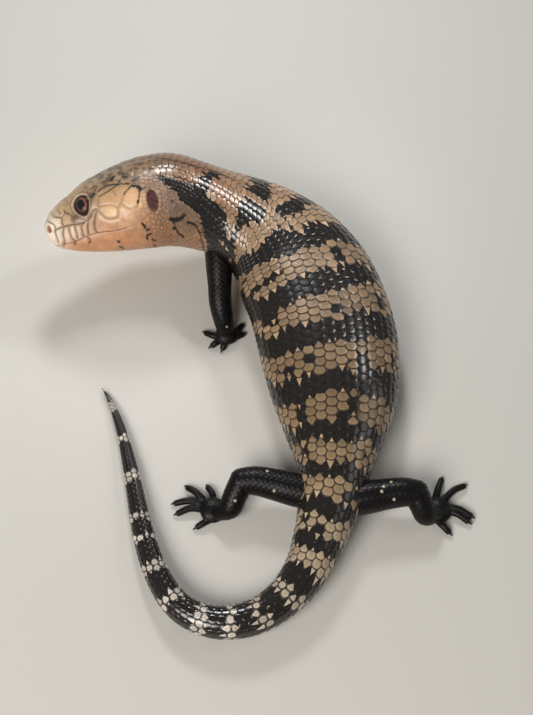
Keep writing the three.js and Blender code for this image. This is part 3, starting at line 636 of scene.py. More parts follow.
# Thin dark line down the nape: place, angle.
NAPE_LINE = (
    (25, 0), (26.6, 0), (27.5, 4.5), (30, 11.5), (33, 10.5), (36, 5), (38, -0.5), (43.6, -4.5),
)


def srgb(*rgb: float) -> Array:
    """Linear colour from a screen colour of 0 to 255."""
    c = np.array(rgb, float) / 255
    return np.where(c <= 0.04045, c / 12.92, ((c + 0.055) / 1.055) ** 2.4)


# Colour of the light scales and bare skin: place, angle, reach along, reach round, colour.
TONES = (
    (0.5, 90, 3.0, 200, srgb(248, 230, 208)), (2.0, 70, 1.6, 30, srgb(255, 246, 228)),
    (8.5, 71, 1.0, 5, srgb(138, 112, 92)), (12.9, 49, 1.1, 6, srgb(108, 94, 80)),
    (5, 60, 3.6, 20, srgb(208, 172, 134)), (4, 20, 4.5, 30, srgb(182, 150, 112)),
    (5, 92, 4.2, 13, srgb(252, 226, 200)), (10.5, 90, 3.5, 9, srgb(234, 196, 162)),
    (10, 20, 5.5, 26, srgb(178, 148, 112)), (11, 58, 3.0, 22, srgb(160, 130, 104)),
    (12.6, 73, 1.8, 12, srgb(186, 150, 116)), (16.2, 79, 1.9, 8, srgb(218, 176, 122)),
    (17, 58, 3.0, 12, srgb(198, 156, 112)), (18, 20, 5.0, 30, srgb(150, 126, 98)),
    (15, 92, 4.0, 8, srgb(206, 150, 108)), (21.2, 70, 1.7, 11, srgb(222, 180, 136)),
    (20, 90, 3.2, 16, srgb(192, 147, 108)), (24, 96, 3.0, 18, srgb(174, 130, 98)),
    (6, 130, 6.0, 30, srgb(206, 142, 100)), (16, 126, 7.0, 24, srgb(196, 130, 88)),
    (24, 124, 6.0, 22, srgb(186, 128, 92)), (12, 180, 12.0, 40, srgb(224, 180, 140)),
    (28, 66, 3.0, 20, srgb(158, 132, 114)), (33, 80, 3.2, 18, srgb(150, 124, 100)),
    (34, 115, 4.5, 24, srgb(190, 142, 104)), (27, 20, 4.5, 26, srgb(146, 114, 84)),
    (36, 20, 6.0, 34, srgb(152, 112, 84)), (46, 40, 5.0, 40, srgb(168, 132, 100)),
    (30, 180, 14.0, 50, srgb(222, 180, 142)), (54, 60, 6.0, 40, srgb(176, 144, 112)),
    (70, 10, 14.0, 60, srgb(158, 131, 101)), (100, 10, 20.0, 60, srgb(140, 114, 83)),
    (90, 80, 30.0, 22, srgb(168, 136, 100)), (90, 180, 50.0, 70, srgb(222, 192, 156)),
    (122, 30, 6.0, 80, srgb(160, 133, 100)), (137, 0, 8.0, 400, srgb(180, 158, 128)),
    (152, 0, 7.0, 400, srgb(208, 190, 166)), (175, 0, 20.0, 400, srgb(226, 214, 200)),
    (215, 0, 26.0, 400, srgb(214, 204, 190)),
)
# Soft darker patches of the head: place, angle, reach along, reach round, strength.
DARK_PATCHES = (
    (13.0, 48, 0.8, 5, 0.6), (13.9, 43, 0.8, 5, 0.5), (12.9, 57, 0.5, 7, 0.35),
    (8.5, 71, 0.7, 4, 0.3), (8.2, 63, 0.8, 6, 0.25), (6.6, 52, 0.7, 7, 0.2),
    (22.6, 47, 0.9, 5, 0.4), (3.2, 34, 0.9, 8, 0.2),
)
# Shares of its length at which a drawn line's corners are cut, and how far beyond it is felt.
CUT_FAR, CUT_NEAR, LINE_REACH = 0.84, 0.16, 0.6


def line_distance(lines: Any, s: Array, side: Array, per_degree: Array) -> Array:
    """Distance in millimetres to the nearest of several lines.

    Args:
        lines: Lines of places and angles.
        s: Places of the points.
        side: Their angles, without the side.
        per_degree: Millimetres to a degree at each point.

    Returns:
        The distance, at most 1.
    """
    best = np.ones(len(s))
    for line in lines:
        rows = np.array(line, float)
        if len(rows) > 2:
            a, b = rows[:-1], rows[1:]
            cut = np.stack([a * CUT_FAR + b * CUT_NEAR, a * CUT_NEAR + b * CUT_FAR], 1)
            rows = np.concatenate([rows[:1], cut.reshape(-1, 2)[1:-1], rows[-1:]])
        for (s0, a0), (s1, a1) in zip(rows[:-1], rows[1:]):
            low, high = min(s0, s1) - LINE_REACH, max(s0, s1) + LINE_REACH
            near = np.flatnonzero((s > low) & (s < high))
            k = per_degree[near]
            x, y = s[near] - s0, (side[near] - a0) * k
            dx, dy = s1 - s0, (a1 - a0) * k
            t = np.clip((x * dx + y * dy) / (dx * dx + dy * dy + 1e-12), 0, 1)
            best[near] = np.minimum(best[near], np.hypot(x - t * dx, y - t * dy))
    return best


@dataclass
class Markings:
    """Bands, stripes and spots that the skin and its scales share."""

    body: Body

    def light(self, s: Array, angle: Array) -> Array:
        """1 where the body is light and 0 where it is dark.

        Args:
            s: Places along the midline.
            angle: Angles round it.

        Returns:
            The share of light at each point.
        """
        angle = (np.asarray(angle, float) + 180) % 360 - 180
        neck = np.ones(np.shape(s), bool)
        for polygon in (STRIPE, *NAPE_DARK):
            neck &= ~inside(polygon, s, angle)
        mirrored = [(a, -b) for a, b in STRIPE]
        neck &= ~(inside(mirrored, s, angle) & (angle < -30))
        for polygon in NAPE_LIGHT:
            neck |= inside(polygon, s, angle)
        trunk = np.zeros(np.shape(s), bool)
        for fronts, ends in zip(BAND_FRONTS, BAND_ENDS):
            front, end = np.interp(angle, BAND_ANGLES, fronts), np.interp(angle, BAND_ANGLES, ends)
            trunk |= (s > front) & (s < end)
        for front, end in TAIL_BANDS:
            trunk |= (s > front) & (s < end)
        trunk |= inside(NAPE_LIGHT[3], s, angle) | inside(NAPE_LIGHT[4], s, angle)
        for place, centre, along, around in HOLES:
            trunk &= ((s - place) / along) ** 2 + ((angle - centre) / around) ** 2 > 1
        return np.where(s < NECK_END, neck, trunk).astype(float)

    def spots(self, s: Array, angle: Array) -> Array:
        """1 inside the small dark marks of the head and neck."""
        shape = np.shape(s)
        s = np.ravel(s)
        side = off_back(np.ravel(angle))
        per_degree = self.body.per_degree(s)
        found = np.zeros(len(s))
        ripple = 0.05 * np.sin(s * 9.1 + side * 0.9) + 0.05 * np.sin(side * 1.7 - s * 5.3)
        for half, line in STREAKS:
            near = np.flatnonzero((s > line[0][0] - 5) & (s < line[-1][0] + 5))
            far = line_distance((line,), s[near], side[near], per_degree[near]) + ripple[near]
            found[near] = np.maximum(found[near], 1 - smoothstep(half - 0.06, half + 0.08, far))
        return found.reshape(shape)

    def tone(self, s: Array, angle: Array) -> Array:
        """Colour of the light parts, blended from the tones near each point."""
        side = off_back(angle)
        total = np.full(np.shape(s), 1e-9)
        colour = np.zeros((*np.shape(s), 3))
        for place, centre, along, around, rgb in TONES:
            w = swell(s, side, place, centre, along, around) / along
            total += w
            colour += w[..., None] * rgb
        for place, centre, along, around, strength in DARK_PATCHES:
            total /= 1 - strength * swell(s, side, place, centre, along, around)
        return colour / total[..., None]

    def middle_line(self, s: Array, angle: Array) -> Array:
        """1 on the thin dark line down the nape."""
        near = np.exp(-(((angle - straight(NAPE_LINE, s)) / 1.5) ** 4))
        return near * smoothstep(24.5, 25.5, s) * (1 - smoothstep(42, 45, s))


@dataclass(frozen=True)
class Seat:
    """Opening in the head: its size, its middle, and the directions across it and outwards."""

    long: float
    high: float
    middle: Array
    first: Array
    second: Array
    out: Array
    taper: float = 0.0

    @classmethod
    def on(
        cls, body: Body, side: int, place: float, angle: float, tilt: float, *size: float
    ) -> "Seat":
        """Finds the seat on a body.

        Args:
            body: The loft that it sits in.
            side: 1 on the left, -1 on the right.
            place: Place along the midline.
            angle: Angle from the back.
            tilt: Turn of the opening, in degrees.
            *size: Half length and half height, then how much wider it is at the top if it is.

        Returns:
            The seat.
        """

        def at(s: float, a: float) -> Array:
            return body.skin(np.array([s]), np.array([side * a]))[0]

        here = at(place, angle)
        along = unit(at(place - 0.5, angle) - at(place + 0.5, angle))
        around = at(place, angle - 3) - at(place, angle + 3)
        out = unit(np.cross(around, along)) * side
        across = unit(np.cross(out, along))
        across = across * np.sign(across @ around)
        t = math.radians(tilt)
        first = along * math.cos(t) + across * math.sin(t)
        second = across * math.cos(t) - along * math.sin(t)
        return cls(size[0], size[1], here, first, second, out, *size[2:])

    def reach(self, p: Array) -> Array:
        """1 on the rim of the opening, less inside it and more outside."""
        q = p - self.middle
        up = q @ self.second / self.high
        along = q @ self.first / (self.long * (1 + self.taper * np.clip(up, -1.4, 1.4)))
        return np.sqrt(along**2 + up**2 + 1e-9)


# Seams between the shields, as places and angles, the same on both sides.
TOP_SEAMS = (
    ((1.4, 0), (1.5, 25), (2.0, 42)), ((2.9, 0), (3.3, 28.6), (3.6, 43)),
    ((5.4, 0), (5.2, 14), (4.7, 30), (5.2, 44)), ((5.4, 0), (7.3, 0)),
    ((7.3, 0), (7.0, 10), (7.6, 24), (7.1, 34)), ((7.0, 10), (9.5, 13), (12, 12), (14.2, 10)),
    ((14.2, 10), (14.6, 0)), ((8.6, 12), (8.9, 33)), ((10.6, 12.6), (10.9, 34)),
    ((12.3, 12), (12.9, 33)), ((14.2, 10), (14.6, 30)),
    ((7.1, 34), (9, 34.5), (12, 34), (14.6, 31), (15.5, 36)), ((14.6, 0), (16.2, 0)),
    ((16.2, 0), (16.9, 9), (15.9, 20), (14.6, 30)), ((16.9, 9), (18.4, 6.5), (20, 0)),
    ((20, 0), (21, 14), (20.6, 32), (19.4, 41)), ((14.6, 31), (17, 35), (19.4, 41)),
    ((20, 0), (25.6, 0)), ((23.1, 0), (23.4, 16), (22.8, 34)), ((25.6, 0), (26, 18), (25.2, 34)),
)
SIDE_SEAMS = (
    ((2.45, 117), (2.5, 86), (2.9, 78.6)), ((4.0, 111), (4.2, 93), (5.0, 78.6)),
    ((6.1, 105.7), (5.85, 93), (6.2, 79.3)), ((7.3, 103.5), (7.5, 83), (7.6, 66)),
    ((8.8, 100.6), (9.0, 86), (9.6, 83)), ((10.1, 97), (10.3, 90), (10.9, 84.3)),
    ((12.0, 96.4), (11.9, 90.7), (12.9, 78.6), (13.6, 70)),
    ((2.9, 78.6), (5.1, 78.6), (6.2, 79.3), (7.6, 81.4), (9.6, 83.6), (10.9, 82.9), (12, 78.6),
     (13.1, 71.4)),
    ((2.45, 85.7), (3.0, 72.9), (2.8, 60), (2.45, 54), (1.9, 42)),
    ((5, 77.9), (4.8, 68.6), (5.2, 57), (3.6, 43), (3.3, 28.6)),
    ((7.6, 65.7), (7.1, 57), (6.3, 48.6), (6.2, 40)), ((5.2, 55.7), (6.3, 47)),
    ((3.3, 130), (4, 115)), ((6.4, 105.7), (6.2, 120)), ((9.6, 102), (10.0, 107), (9.7, 117)),
)
# Seams of the temple and below the eye, cut less deep.
FAINT_SEAMS = (
    ((7.7, 71), (8.2, 66.5), (9.0, 72.5), (9.9, 81), (10.5, 84)),
    ((13.7, 72), (14.4, 80.5), (14.7, 84.5), (15.7, 86.5), (17.5, 86.5), (18.0, 83), (18.2, 74.5),
     (17.2, 69), (15.3, 67), (14.3, 66), (13.7, 72)),
    ((14.3, 66), (14.4, 58), (15.1, 51), (18.0, 46), (19.6, 42)), ((18.1, 49), (18.5, 57)),
    ((18.2, 74.5), (19.4, 68), (20.1, 59.5), (21.7, 51), (22.1, 49)),
    ((19.2, 70), (19.9, 76), (21.0, 79.5), (22.2, 78), (22.9, 67), (23.1, 58)),
)
# Where the irregular small scales of the cheek and throat begin below the shields.
GRAIN_EDGE = np.array([
    [0.0, 150], [3, 134], [8, 125], [12, 110], [13.6, 99], [14.4, 88], [15.3, 88], [17.8, 87],
    [18.4, 79], [20, 78], [22.2, 81], [23.0, 64], [22.5, 56], [22.9, 40], [25.2, 35], [26.5, 30],
    [33.0, 30],
])
# Width of those scales by place.
GRAIN_PITCH = np.array([
    [0.0, 3.0], [6, 3.0], [12, 2.4], [17, 1.8], [21, 1.3], [24, 1.0], [30, 0.85],
])
# Openings of the head: place, angle, tilt, half length, half height, widening at the top.
EYE_AT = (10.4, 55.4, 4, 2.28, 2.85, 0.26)
NOSTRIL_AT = (1.38, 67, 62, 1.05, 0.9)
EAR_AT = (25.05, 72.6, -10, 1.4, 3.0)
# wide and ring in DETAILS are painted shade: round the seams and mouth, and in the fold round each
# lid.
DETAILS = ("seam", "lid", "pit", "shade", "wide", "ring", "nose")


@dataclass
class HeadDetail:
    """Shields, lips, lids, nostrils and ears, pressed into the skin of the head."""

    body: Body
    groove: float = 0.11
    groove_half: float = 0.15
    mouth_depth: float = 0.34
    mouth_half: float = 0.16
    eye_radius: float = 3.2
    eye_sink: float = 0.1
    socket: float = 0.35
    lid: float = 0.12
    nostril_depth: float = 0.7
    ear_depth: float = 0.75
    seat_depth: float = 3.0
    furrow_at: float = 1.16
    chunk: int = 4000

    def __post_init__(self) -> None:
        """Finds the seats of the openings on both sides."""
        self.eyes, self.nostrils, self.ears = (
            [Seat.on(self.body, side, *at) for side in (1, -1)]
            for at in (EYE_AT, NOSTRIL_AT, EAR_AT)
        )

    def eyeball(self, seat: Seat) -> Array:
        """Centre of the eyeball behind an opening."""
        return seat.middle - seat.out * (self.eye_radius + self.eye_sink)

    def grain(self, s: Array, side: Array, per_degree: Array) -> tuple[Array, Array]:
        """Seams of the small irregular scales of cheek and throat.

        Args:
            s: Places of the points.
            side: Their angles, without the side.
            per_degree: Millimetres to a degree at each point.

        Returns:
            Distance to the nearest seam, and a share of its own for each scale.
        """
        rng = np.random.default_rng(SEED)
        seeds = []
        place, row = 2.0, 0
        while place < 33:
            pitch = straight(GRAIN_PITCH, place)
            step = pitch / (self.body.half_way_round[int(place / self.body.TURN_STEP)] / 180)
            angles = np.arange(20 + step * (row % 2) / 2, 184, step)
            seeds += [
                (place + rng.normal(0, 0.2) * pitch, a + rng.normal(0, 0.2) * step) for a in angles
            ]
            place += pitch * 0.87
            row += 1
        seeds = np.array(seeds)
        edge = np.full(len(s), 1.0)
        shade = np.zeros(len(s))
        tone = rng.random(len(seeds))
        border = straight(GRAIN_EDGE, s)
        active = np.flatnonzero(side > border - 2)
        for k in range(0, len(active), self.chunk):
            i = active[k : k + self.chunk]
            x = s[i][:, None] - seeds[None, :, 0]
            y = (side[i][:, None] - seeds[None, :, 1]) * per_degree[i][:, None]
            d = np.sqrt(x * x + y * y)
            two = np.argpartition(d, 1, axis=1)[:, :2]
            d2 = np.take_along_axis(d, two, 1)
            edge[i] = np.abs(d2[:, 0] - d2[:, 1]) / 2
            shade[i] = tone[np.where(d2[:, 0] < d2[:, 1], two[:, 0], two[:, 1])]
        return np.where(side > border, edge, 1.0), shade

    def carve(self, p: Array, out: Array, s: Array, angle: Array) -> tuple[Array, dict[str, Array]]:
        """Presses the head's detail into the skin.

        Args:
            p: Points of the skin.
            out: Directions outwards.
            s: Their places.
            angle: Their angles.

        Returns:
            The moved points, and their shares of each of DETAILS: seam, lid, pit, own shade,
            wide surround of a seam as painted shade, ring in the fold round the lid as painted
            shade, and nostril.
        """
        side = off_back(angle)
        per_degree = self.body.per_degree(s)
        seam = line_distance(TOP_SEAMS + SIDE_SEAMS, s, side, per_degree)
        grain, shade = self.grain(s, side, per_degree)
        mouth = line_distance((MOUTH,), s, side, per_degree)
        faint = 0.13 + 0.5 * smoothstep(21, 26, s)
        strength = 0.5 + 0.5 * smoothstep(34, 44, side)
        soft = line_distance(FAINT_SEAMS, s, side, per_degree)
        strength, seam = np.where(soft < seam, 0.45, strength), np.minimum(soft, seam)

        def near_seam(weight: Any, low: float, reach: float, grain_reach: float) -> Array:
            """1 on a seam of either kind, less beside it."""
            return np.maximum(
                weight * (1 - smoothstep(low, reach, seam)),
                faint * (1 - smoothstep(low, grain_reach, grain)),
            )

        cut = near_seam(strength, 0.0, self.groove_half, self.groove_half)
        dome = near_seam(1.0, 0.0, 0.65, 0.5)
        fade = 1 - smoothstep(28, 31, s)
        lip_row = smoothstep(56, 66, side) * (1 - smoothstep(11, 14, s))
        lip_row = lip_row * (1 - smoothstep(118, 128, side))
        down = (self.groove * cut + (0.1 + 0.3 * lip_row) * dome) * fade
        lips = (1 - smoothstep(0, self.mouth_half, mouth)) * (1 - 0.85 * smoothstep(18, 20, s))
        down = down * (1 - lips) + self.mouth_depth * lips
        lid, pit, ring, nose = (np.zeros(len(s)) for _ in range(4))
        for seats, deep in ((self.nostrils, self.nostril_depth), (self.ears, self.ear_depth)):
            for seat in seats:
                reach = seat.reach(p)
                near = ((p - seat.middle) @ seat.out > -self.seat_depth) & (reach < 2)
                hole = np.where(near, 1 - smoothstep(0.55, 1.05, reach), 0)
                rim = np.where(near, np.exp(-(((reach - 1.25) / 0.2) ** 2)), 0)
                down = down * (1 - hole) + deep * hole - 0.05 * rim
                dye = np.where(near, 1 - smoothstep(0.8, 1.0, reach), 0)
                pit = np.maximum(pit, dye)
                if seats is self.nostrils:
                    nose = np.maximum(nose, dye)
        moved = p - out * down[:, None]
        for seat in self.eyes:
            reach = seat.reach(p)
            near = ((p - seat.middle) @ seat.out > -self.seat_depth) & (reach < 1.6)
            centre = self.eyeball(seat)
            q = p - centre
            length = np.linalg.norm(q, axis=1)
            inner = self.eye_radius - self.socket * smoothstep(0, 0.16, 1 - reach)
            outer = np.linalg.norm(moved - centre, axis=1)
            outer = np.maximum(outer, self.eye_radius + 0.06)
            lift = np.sqrt(np.clip((reach - 1.0) / self.lid, 0, 1))
            furrow = np.exp(-(((reach - self.furrow_at) / 0.045) ** 2))
            bead = 0.07 * np.exp(-(((reach - 1.07) / 0.04) ** 2)) - 0.12 * furrow
            wanted = inner * (1 - lift) + (outer + bead) * lift
            socket = centre + q * (wanted / length)[:, None]
            moved = np.where(near[:, None], socket, moved)
            rim = smoothstep(1.01, 1.04, reach) * (1 - smoothstep(1.05, 1.09, reach))
            lid = np.maximum(lid, np.where(near, rim, 0))
            # The fold round the lid, darkened in colour as painted shade.
            ring = np.maximum(ring, np.where(near, furrow, 0))
            pit = np.maximum(pit, np.where(near, 1 - smoothstep(0.96, 1.04, reach), 0))
            calm = np.where(near, smoothstep(1.12, 1.3, reach), 1.0)
            seam, grain = seam + (1 - calm), grain + (1 - calm)
        line = self.groove_half * 1.1
        seams = np.maximum(near_seam(strength, 0.03, line, line) * fade, lips)
        # Painted shade round the seams and along the mouth, so the shields look swollen.
        wide = np.maximum(near_seam(strength, 0.0, 0.55, 0.4) * fade, lips)
        return moved, dict(zip(DETAILS, (seams, lid, pit, shade, wide, ring, nose)))


def grid_faces(counts: Sequence[int]) -> tuple[Array, Array]:
    """Faces of closed rings stacked in a row, ended by a point at each end.

    Args:
        counts: Points in each ring; a ring has as many as the one before or half as many.

    Returns:
        Quads and triangles, numbered ring by ring, then the first end and the last end.
    """
    starts = np.concatenate([[0], np.cumsum(counts)])
    quads, tris = [], []
    for k in range(len(counts) - 1):
        a, b, n, m = starts[k], starts[k + 1], counts[k], counts[k + 1]
        j = np.arange(m)
        if n == m:
            i = (j + 1) % n
            quads.append(np.stack([a + j, a + i, b + i, b + j], 1))
        else:
            i = (j + 1) % m
            tris.append(np.stack([a + 2 * j, a + 2 * j + 1, b + j], 1))
            tris.append(np.stack([a + 2 * j + 1, a + (2 * j + 2) % n, b + i], 1))
            tris.append(np.stack([a + 2 * j + 1, b + i, b + j], 1))
    first, last = starts[-1], starts[-1] + 1
    j = np.arange(counts[0])
    tris.append(np.stack([np.full(len(j), first), (j + 1) % counts[0], j], 1))
    j = np.arange(counts[-1])
    a = starts[-2]
    tris.append(np.stack([np.full(len(j), last), a + j, a + (j + 1) % counts[-1]], 1))
    return (np.concatenate(quads) if quads else np.empty((0, 4), int)), np.concatenate(tris)


def show(name: str, data: Any) -> Any:
    """Links an object of a mesh, lamp or camera to the scene."""
    piece = bpy.data.objects.new(name, data)
    bpy.context.scene.collection.objects.link(piece)
    return piece


def worked(piece: Any) -> Any:
    """Mesh of an object with its modifiers applied."""
    seen = piece.evaluated_get(bpy.context.evaluated_depsgraph_get())
    return bpy.data.meshes.new_from_object(seen)


def mesh_object(name: str, points: Array, quads: Array, tris: Array) -> Any:
    """Makes a smooth-shaded object from points and faces.

    Args:
        name: Its name.
        points: Its points.
        quads: Faces of four points.
        tris: Faces of three points.

    Returns:
        The object, linked to the scene.
    """
    mesh = bpy.data.meshes.new(name)
    loops = np.concatenate([quads.ravel(), tris.ravel()]).astype(np.int32)
    sizes = np.concatenate([np.full(len(quads), 4), np.full(len(tris), 3)])
    mesh.vertices.add(len(points))
    mesh.vertices.foreach_set("co", points.astype(np.float32).ravel())
    mesh.loops.add(len(loops))
    mesh.loops.foreach_set("vertex_index", loops)
    mesh.polygons.add(len(sizes))
    starts = np.concatenate([[0], np.cumsum(sizes)[:-1]])
    mesh.polygons.foreach_set("loop_start", starts.astype(np.int32))
    mesh.update(calc_edges=True)
    mesh.polygons.foreach_set("use_smooth", np.ones(len(sizes), bool))
    return show(name, mesh)


def to_world(points: Array) -> Array:
    """Millimetres of the part's tables to metres of the row."""
    return (points + ORIGIN) * MM


def give(piece: Any, name: str, values: Array) -> None:
    """Stores three values for every point of a piece."""
    store = piece.data.attributes.new(name, "FLOAT_VECTOR", "POINT")
    store.data.foreach_set("vector", values.astype(np.float32).ravel())


def coordinates(mesh: Any) -> Array:
    """The points of a mesh."""
    found = np.empty(len(mesh.vertices) * 3, np.float32)
    mesh.vertices.foreach_get("co", found)
    return found.reshape(-1, 3).astype(float)


def coat_depth(shape: Any) -> float:
    """How far the skin of a leg, pad or toe lies under the solids."""
    if isinstance(shape, Palm):
        return 0.14
    return 0.2 if shape.end_radius > 1 else 0.08


# Place at which the scales begin by angle from the back.
COAT_START = ((0, 24.6), (28, 24.8), (40, 26.2), (100, 27.5), (130, 26), (180, 25))


@dataclass
class Skin:
    """One closed skin over the head, body, tail and legs."""

    body: Body
    detail: HeadDetail
    marks: Markings
    limbs: Sequence[Limb]
    head_columns: int = 480
    head_step: float = 0.15
    neck_step: float = 0.5
    trunk_start: float = 48.0
    trunk_step: float = 0.8
    tail_start: float = 129.0
    tail_step: float = 0.7
    head_depth: float = 0.03
    limb_rings: int = 40
    soften_rounds: int = 16
    voxel: float = 0.23
    toe_reach: float = 6.0
    toe_stiff: tuple[float, float] = (0.8, 1.9)
    toe_share: float = 0.12
    sole: float = 0.45

    def depth(self, s: Array, angle: Array) -> Array:
        """How far the skin lies under the solids: little on the head, more under the scales."""
        start = straight(COAT_START, off_back(angle))
        return self.head_depth + (COAT_DEPTH - self.head_depth) * smoothstep(0, 2.4, s - start)

    def body_grid(self) -> tuple[Any, Array, dict[str, Array]]:
        """Head, body and tail as a mesh, with its points and their values."""
        head = np.arange(0.05, HEAD_END, self.head_step)
        neck = np.arange(HEAD_END + 0.25, self.trunk_start, self.neck_step)
        trunk = np.arange(self.trunk_start + 0.2, self.tail_start, self.trunk_step)
        tail = np.arange(self.tail_start + 0.2, TAIL_TIP - 0.1, self.tail_step)
        rings = np.concatenate([head, neck, trunk, tail])
        counts = []
        for k, part in enumerate((head, neck, trunk, tail)):
            counts += [self.head_columns >> k] * len(part)
        s = np.repeat(rings, counts)
        turn = np.concatenate([np.arange(n) / n for n in counts])
        turn = np.where(turn > 0.5, turn - 1, turn)
        s = np.concatenate([s, [0.0, TAIL_TIP - 0.05]])
        angle = self.body.angle_of(s, np.concatenate([turn, [0.0, 0.0]]))
        points = self.body.skin(s, angle, -self.depth(s, angle))
        points[-2:] = self.body.frames(s[-2:])[0]
        quads, tris = grid_faces(counts)
        out = normals(self.body, s, angle)
        on_head = np.flatnonzero(s[:-2] < HEAD_END)
        points[on_head], parts = self.detail.carve(
            points[on_head], out[on_head], s[on_head], angle[on_head]
        )
        values = {key: np.zeros(len(s)) for key in DETAILS}
        for key, value in parts.items():
            values[key][on_head] = value
        piece = mesh_object("skin_body", points, quads, tris)
        values["s"], values["angle"] = s, angle
        return piece, points, values

    def limb_mesh(self) -> Any:
        """Legs and feet as one mesh of crossing closed shapes."""
        points, quads, tris, start = [], [], [], 0
        n = self.limb_rings
        for limb in self.limbs:
            for shape in limb.shapes:
                over = 0.0 if isinstance(shape, Palm) else 1.5 * shape.end_radius
                s = np.linspace(0, shape.total + over, n)
                grid_s, grid_a = np.meshgrid(s, np.arange(n) * (360 / n), indexing="ij")
                p = shape.skin(grid_s, grid_a, -coat_depth(shape))
                q, t = grid_faces([n] * n)
                points += [p.reshape(-1, 3), np.array([p[0].mean(0), p[-1].mean(0)])]
                quads.append(q + start)
                tris.append(t + start)
                start += n * n + 2
        return mesh_object("skin_limbs", *(np.concatenate(x) for x in (points, quads, tris)))

    def softened(self, limbs: Any) -> Any:
        """Evens the creases between the shapes of the legs, though hardly on toes and soles."""
        mesh = worked(limbs)
        bpy.data.objects.remove(limbs)
        p = coordinates(mesh)
        edges = np.empty(len(mesh.edges) * 2, np.int32)
        mesh.edges.foreach_get("vertices", edges)
        a, b = edges.reshape(-1, 2).T
        links = np.bincount(a, minlength=len(p)) + np.bincount(b, minlength=len(p))
        toe = np.full(len(p), self.toe_reach)
        for limb in self.limbs:
            for digit in limb.digits:
                line = digit.curve.points[::100, :3]
                near = np.flatnonzero(np.abs(p - line.mean(0)).max(1) < self.toe_reach)
                d = np.linalg.norm(p[near][:, None] - line[None, :], axis=2).min(1)
                toe[near] = np.minimum(toe[near], d)
        free = self.toe_share + (1 - self.toe_share) * smoothstep(*self.toe_stiff, toe)
        weight = free[:, None] * (p[:, 2:3] > self.sole)
        for _ in range(self.soften_rounds):
            total = [np.bincount(a, q[b], len(p)) + np.bincount(b, q[a], len(p)) for q in p.T]
            p += 0.5 * weight * (np.stack(total, 1) / links[:, None] - p)
        mesh.vertices.foreach_set("co", p.astype(np.float32).ravel())
        mesh.update()
        return show("skin_limbs", mesh)

    def build(self) -> Any:
        """Joins body and legs into one skin and gives its points their values."""
        grid, grid_points, values = self.body_grid()
        limbs = self.limb_mesh()
        remesh = limbs.modifiers.new("even", "REMESH")
        remesh.mode = "VOXEL"
        remesh.voxel_size = self.voxel
        limbs = self.softened(limbs)
        join = grid.modifiers.new("join", "BOOLEAN")
        join.operation, join.solver, join.object = "UNION", "MANIFOLD", limbs
        mesh = worked(grid)
        for piece in (grid, limbs):
            bpy.data.objects.remove(piece)
        p = coordinates(mesh)
        tree = KDTree(len(grid_points))
        for i, q in enumerate(grid_points):
            tree.insert(q, i)
        tree.balance()
        found = [tree.find(q)[1:] for q in p]
        near = np.array([f[0] for f in found])
        limb = smoothstep(0.02, 0.06, np.array([f[1] for f in found]))
        mesh.vertices.foreach_set("co", to_world(p).astype(np.float32).ravel())
        mesh.name = "skin"
        mesh.materials.clear()
        skin = show("skin", mesh)
        mesh.polygons.foreach_set("use_smooth", np.ones(len(mesh.polygons), bool))
        for name in [a.name for a in mesh.attributes if not a.is_internal and not a.is_required]:
            if name not in ("position", "sharp_face"):
                mesh.attributes.remove(mesh.attributes[name])
        at = {key: value[near] for key, value in values.items()}
        s, angle = at["s"], at["angle"]
        crown = np.exp(-((np.abs(angle) / 42) ** 6))
        crown = crown * smoothstep(10, 15, s) * (1 - smoothstep(27, 30, s))
        give(skin, "hue", self.marks.tone(s, angle))
        for name, parts in (
            ("masks", (self.marks.light(s, angle), at["seam"], self.marks.spots(s, angle))),
            ("parts", (at["lid"], at["pit"], limb)),
            # These values: wide and ring are painted shade round the seams and in the lid folds;
            # nose is the nostrils' colour.
            ("painted_shade_and_nostril", (at["wide"], at["ring"], at["nose"])),
            ("extra", (at["shade"], self.marks.middle_line(s, angle), crown)),
        ):
            give(skin, name, np.stack(parts, 1))
        return skin


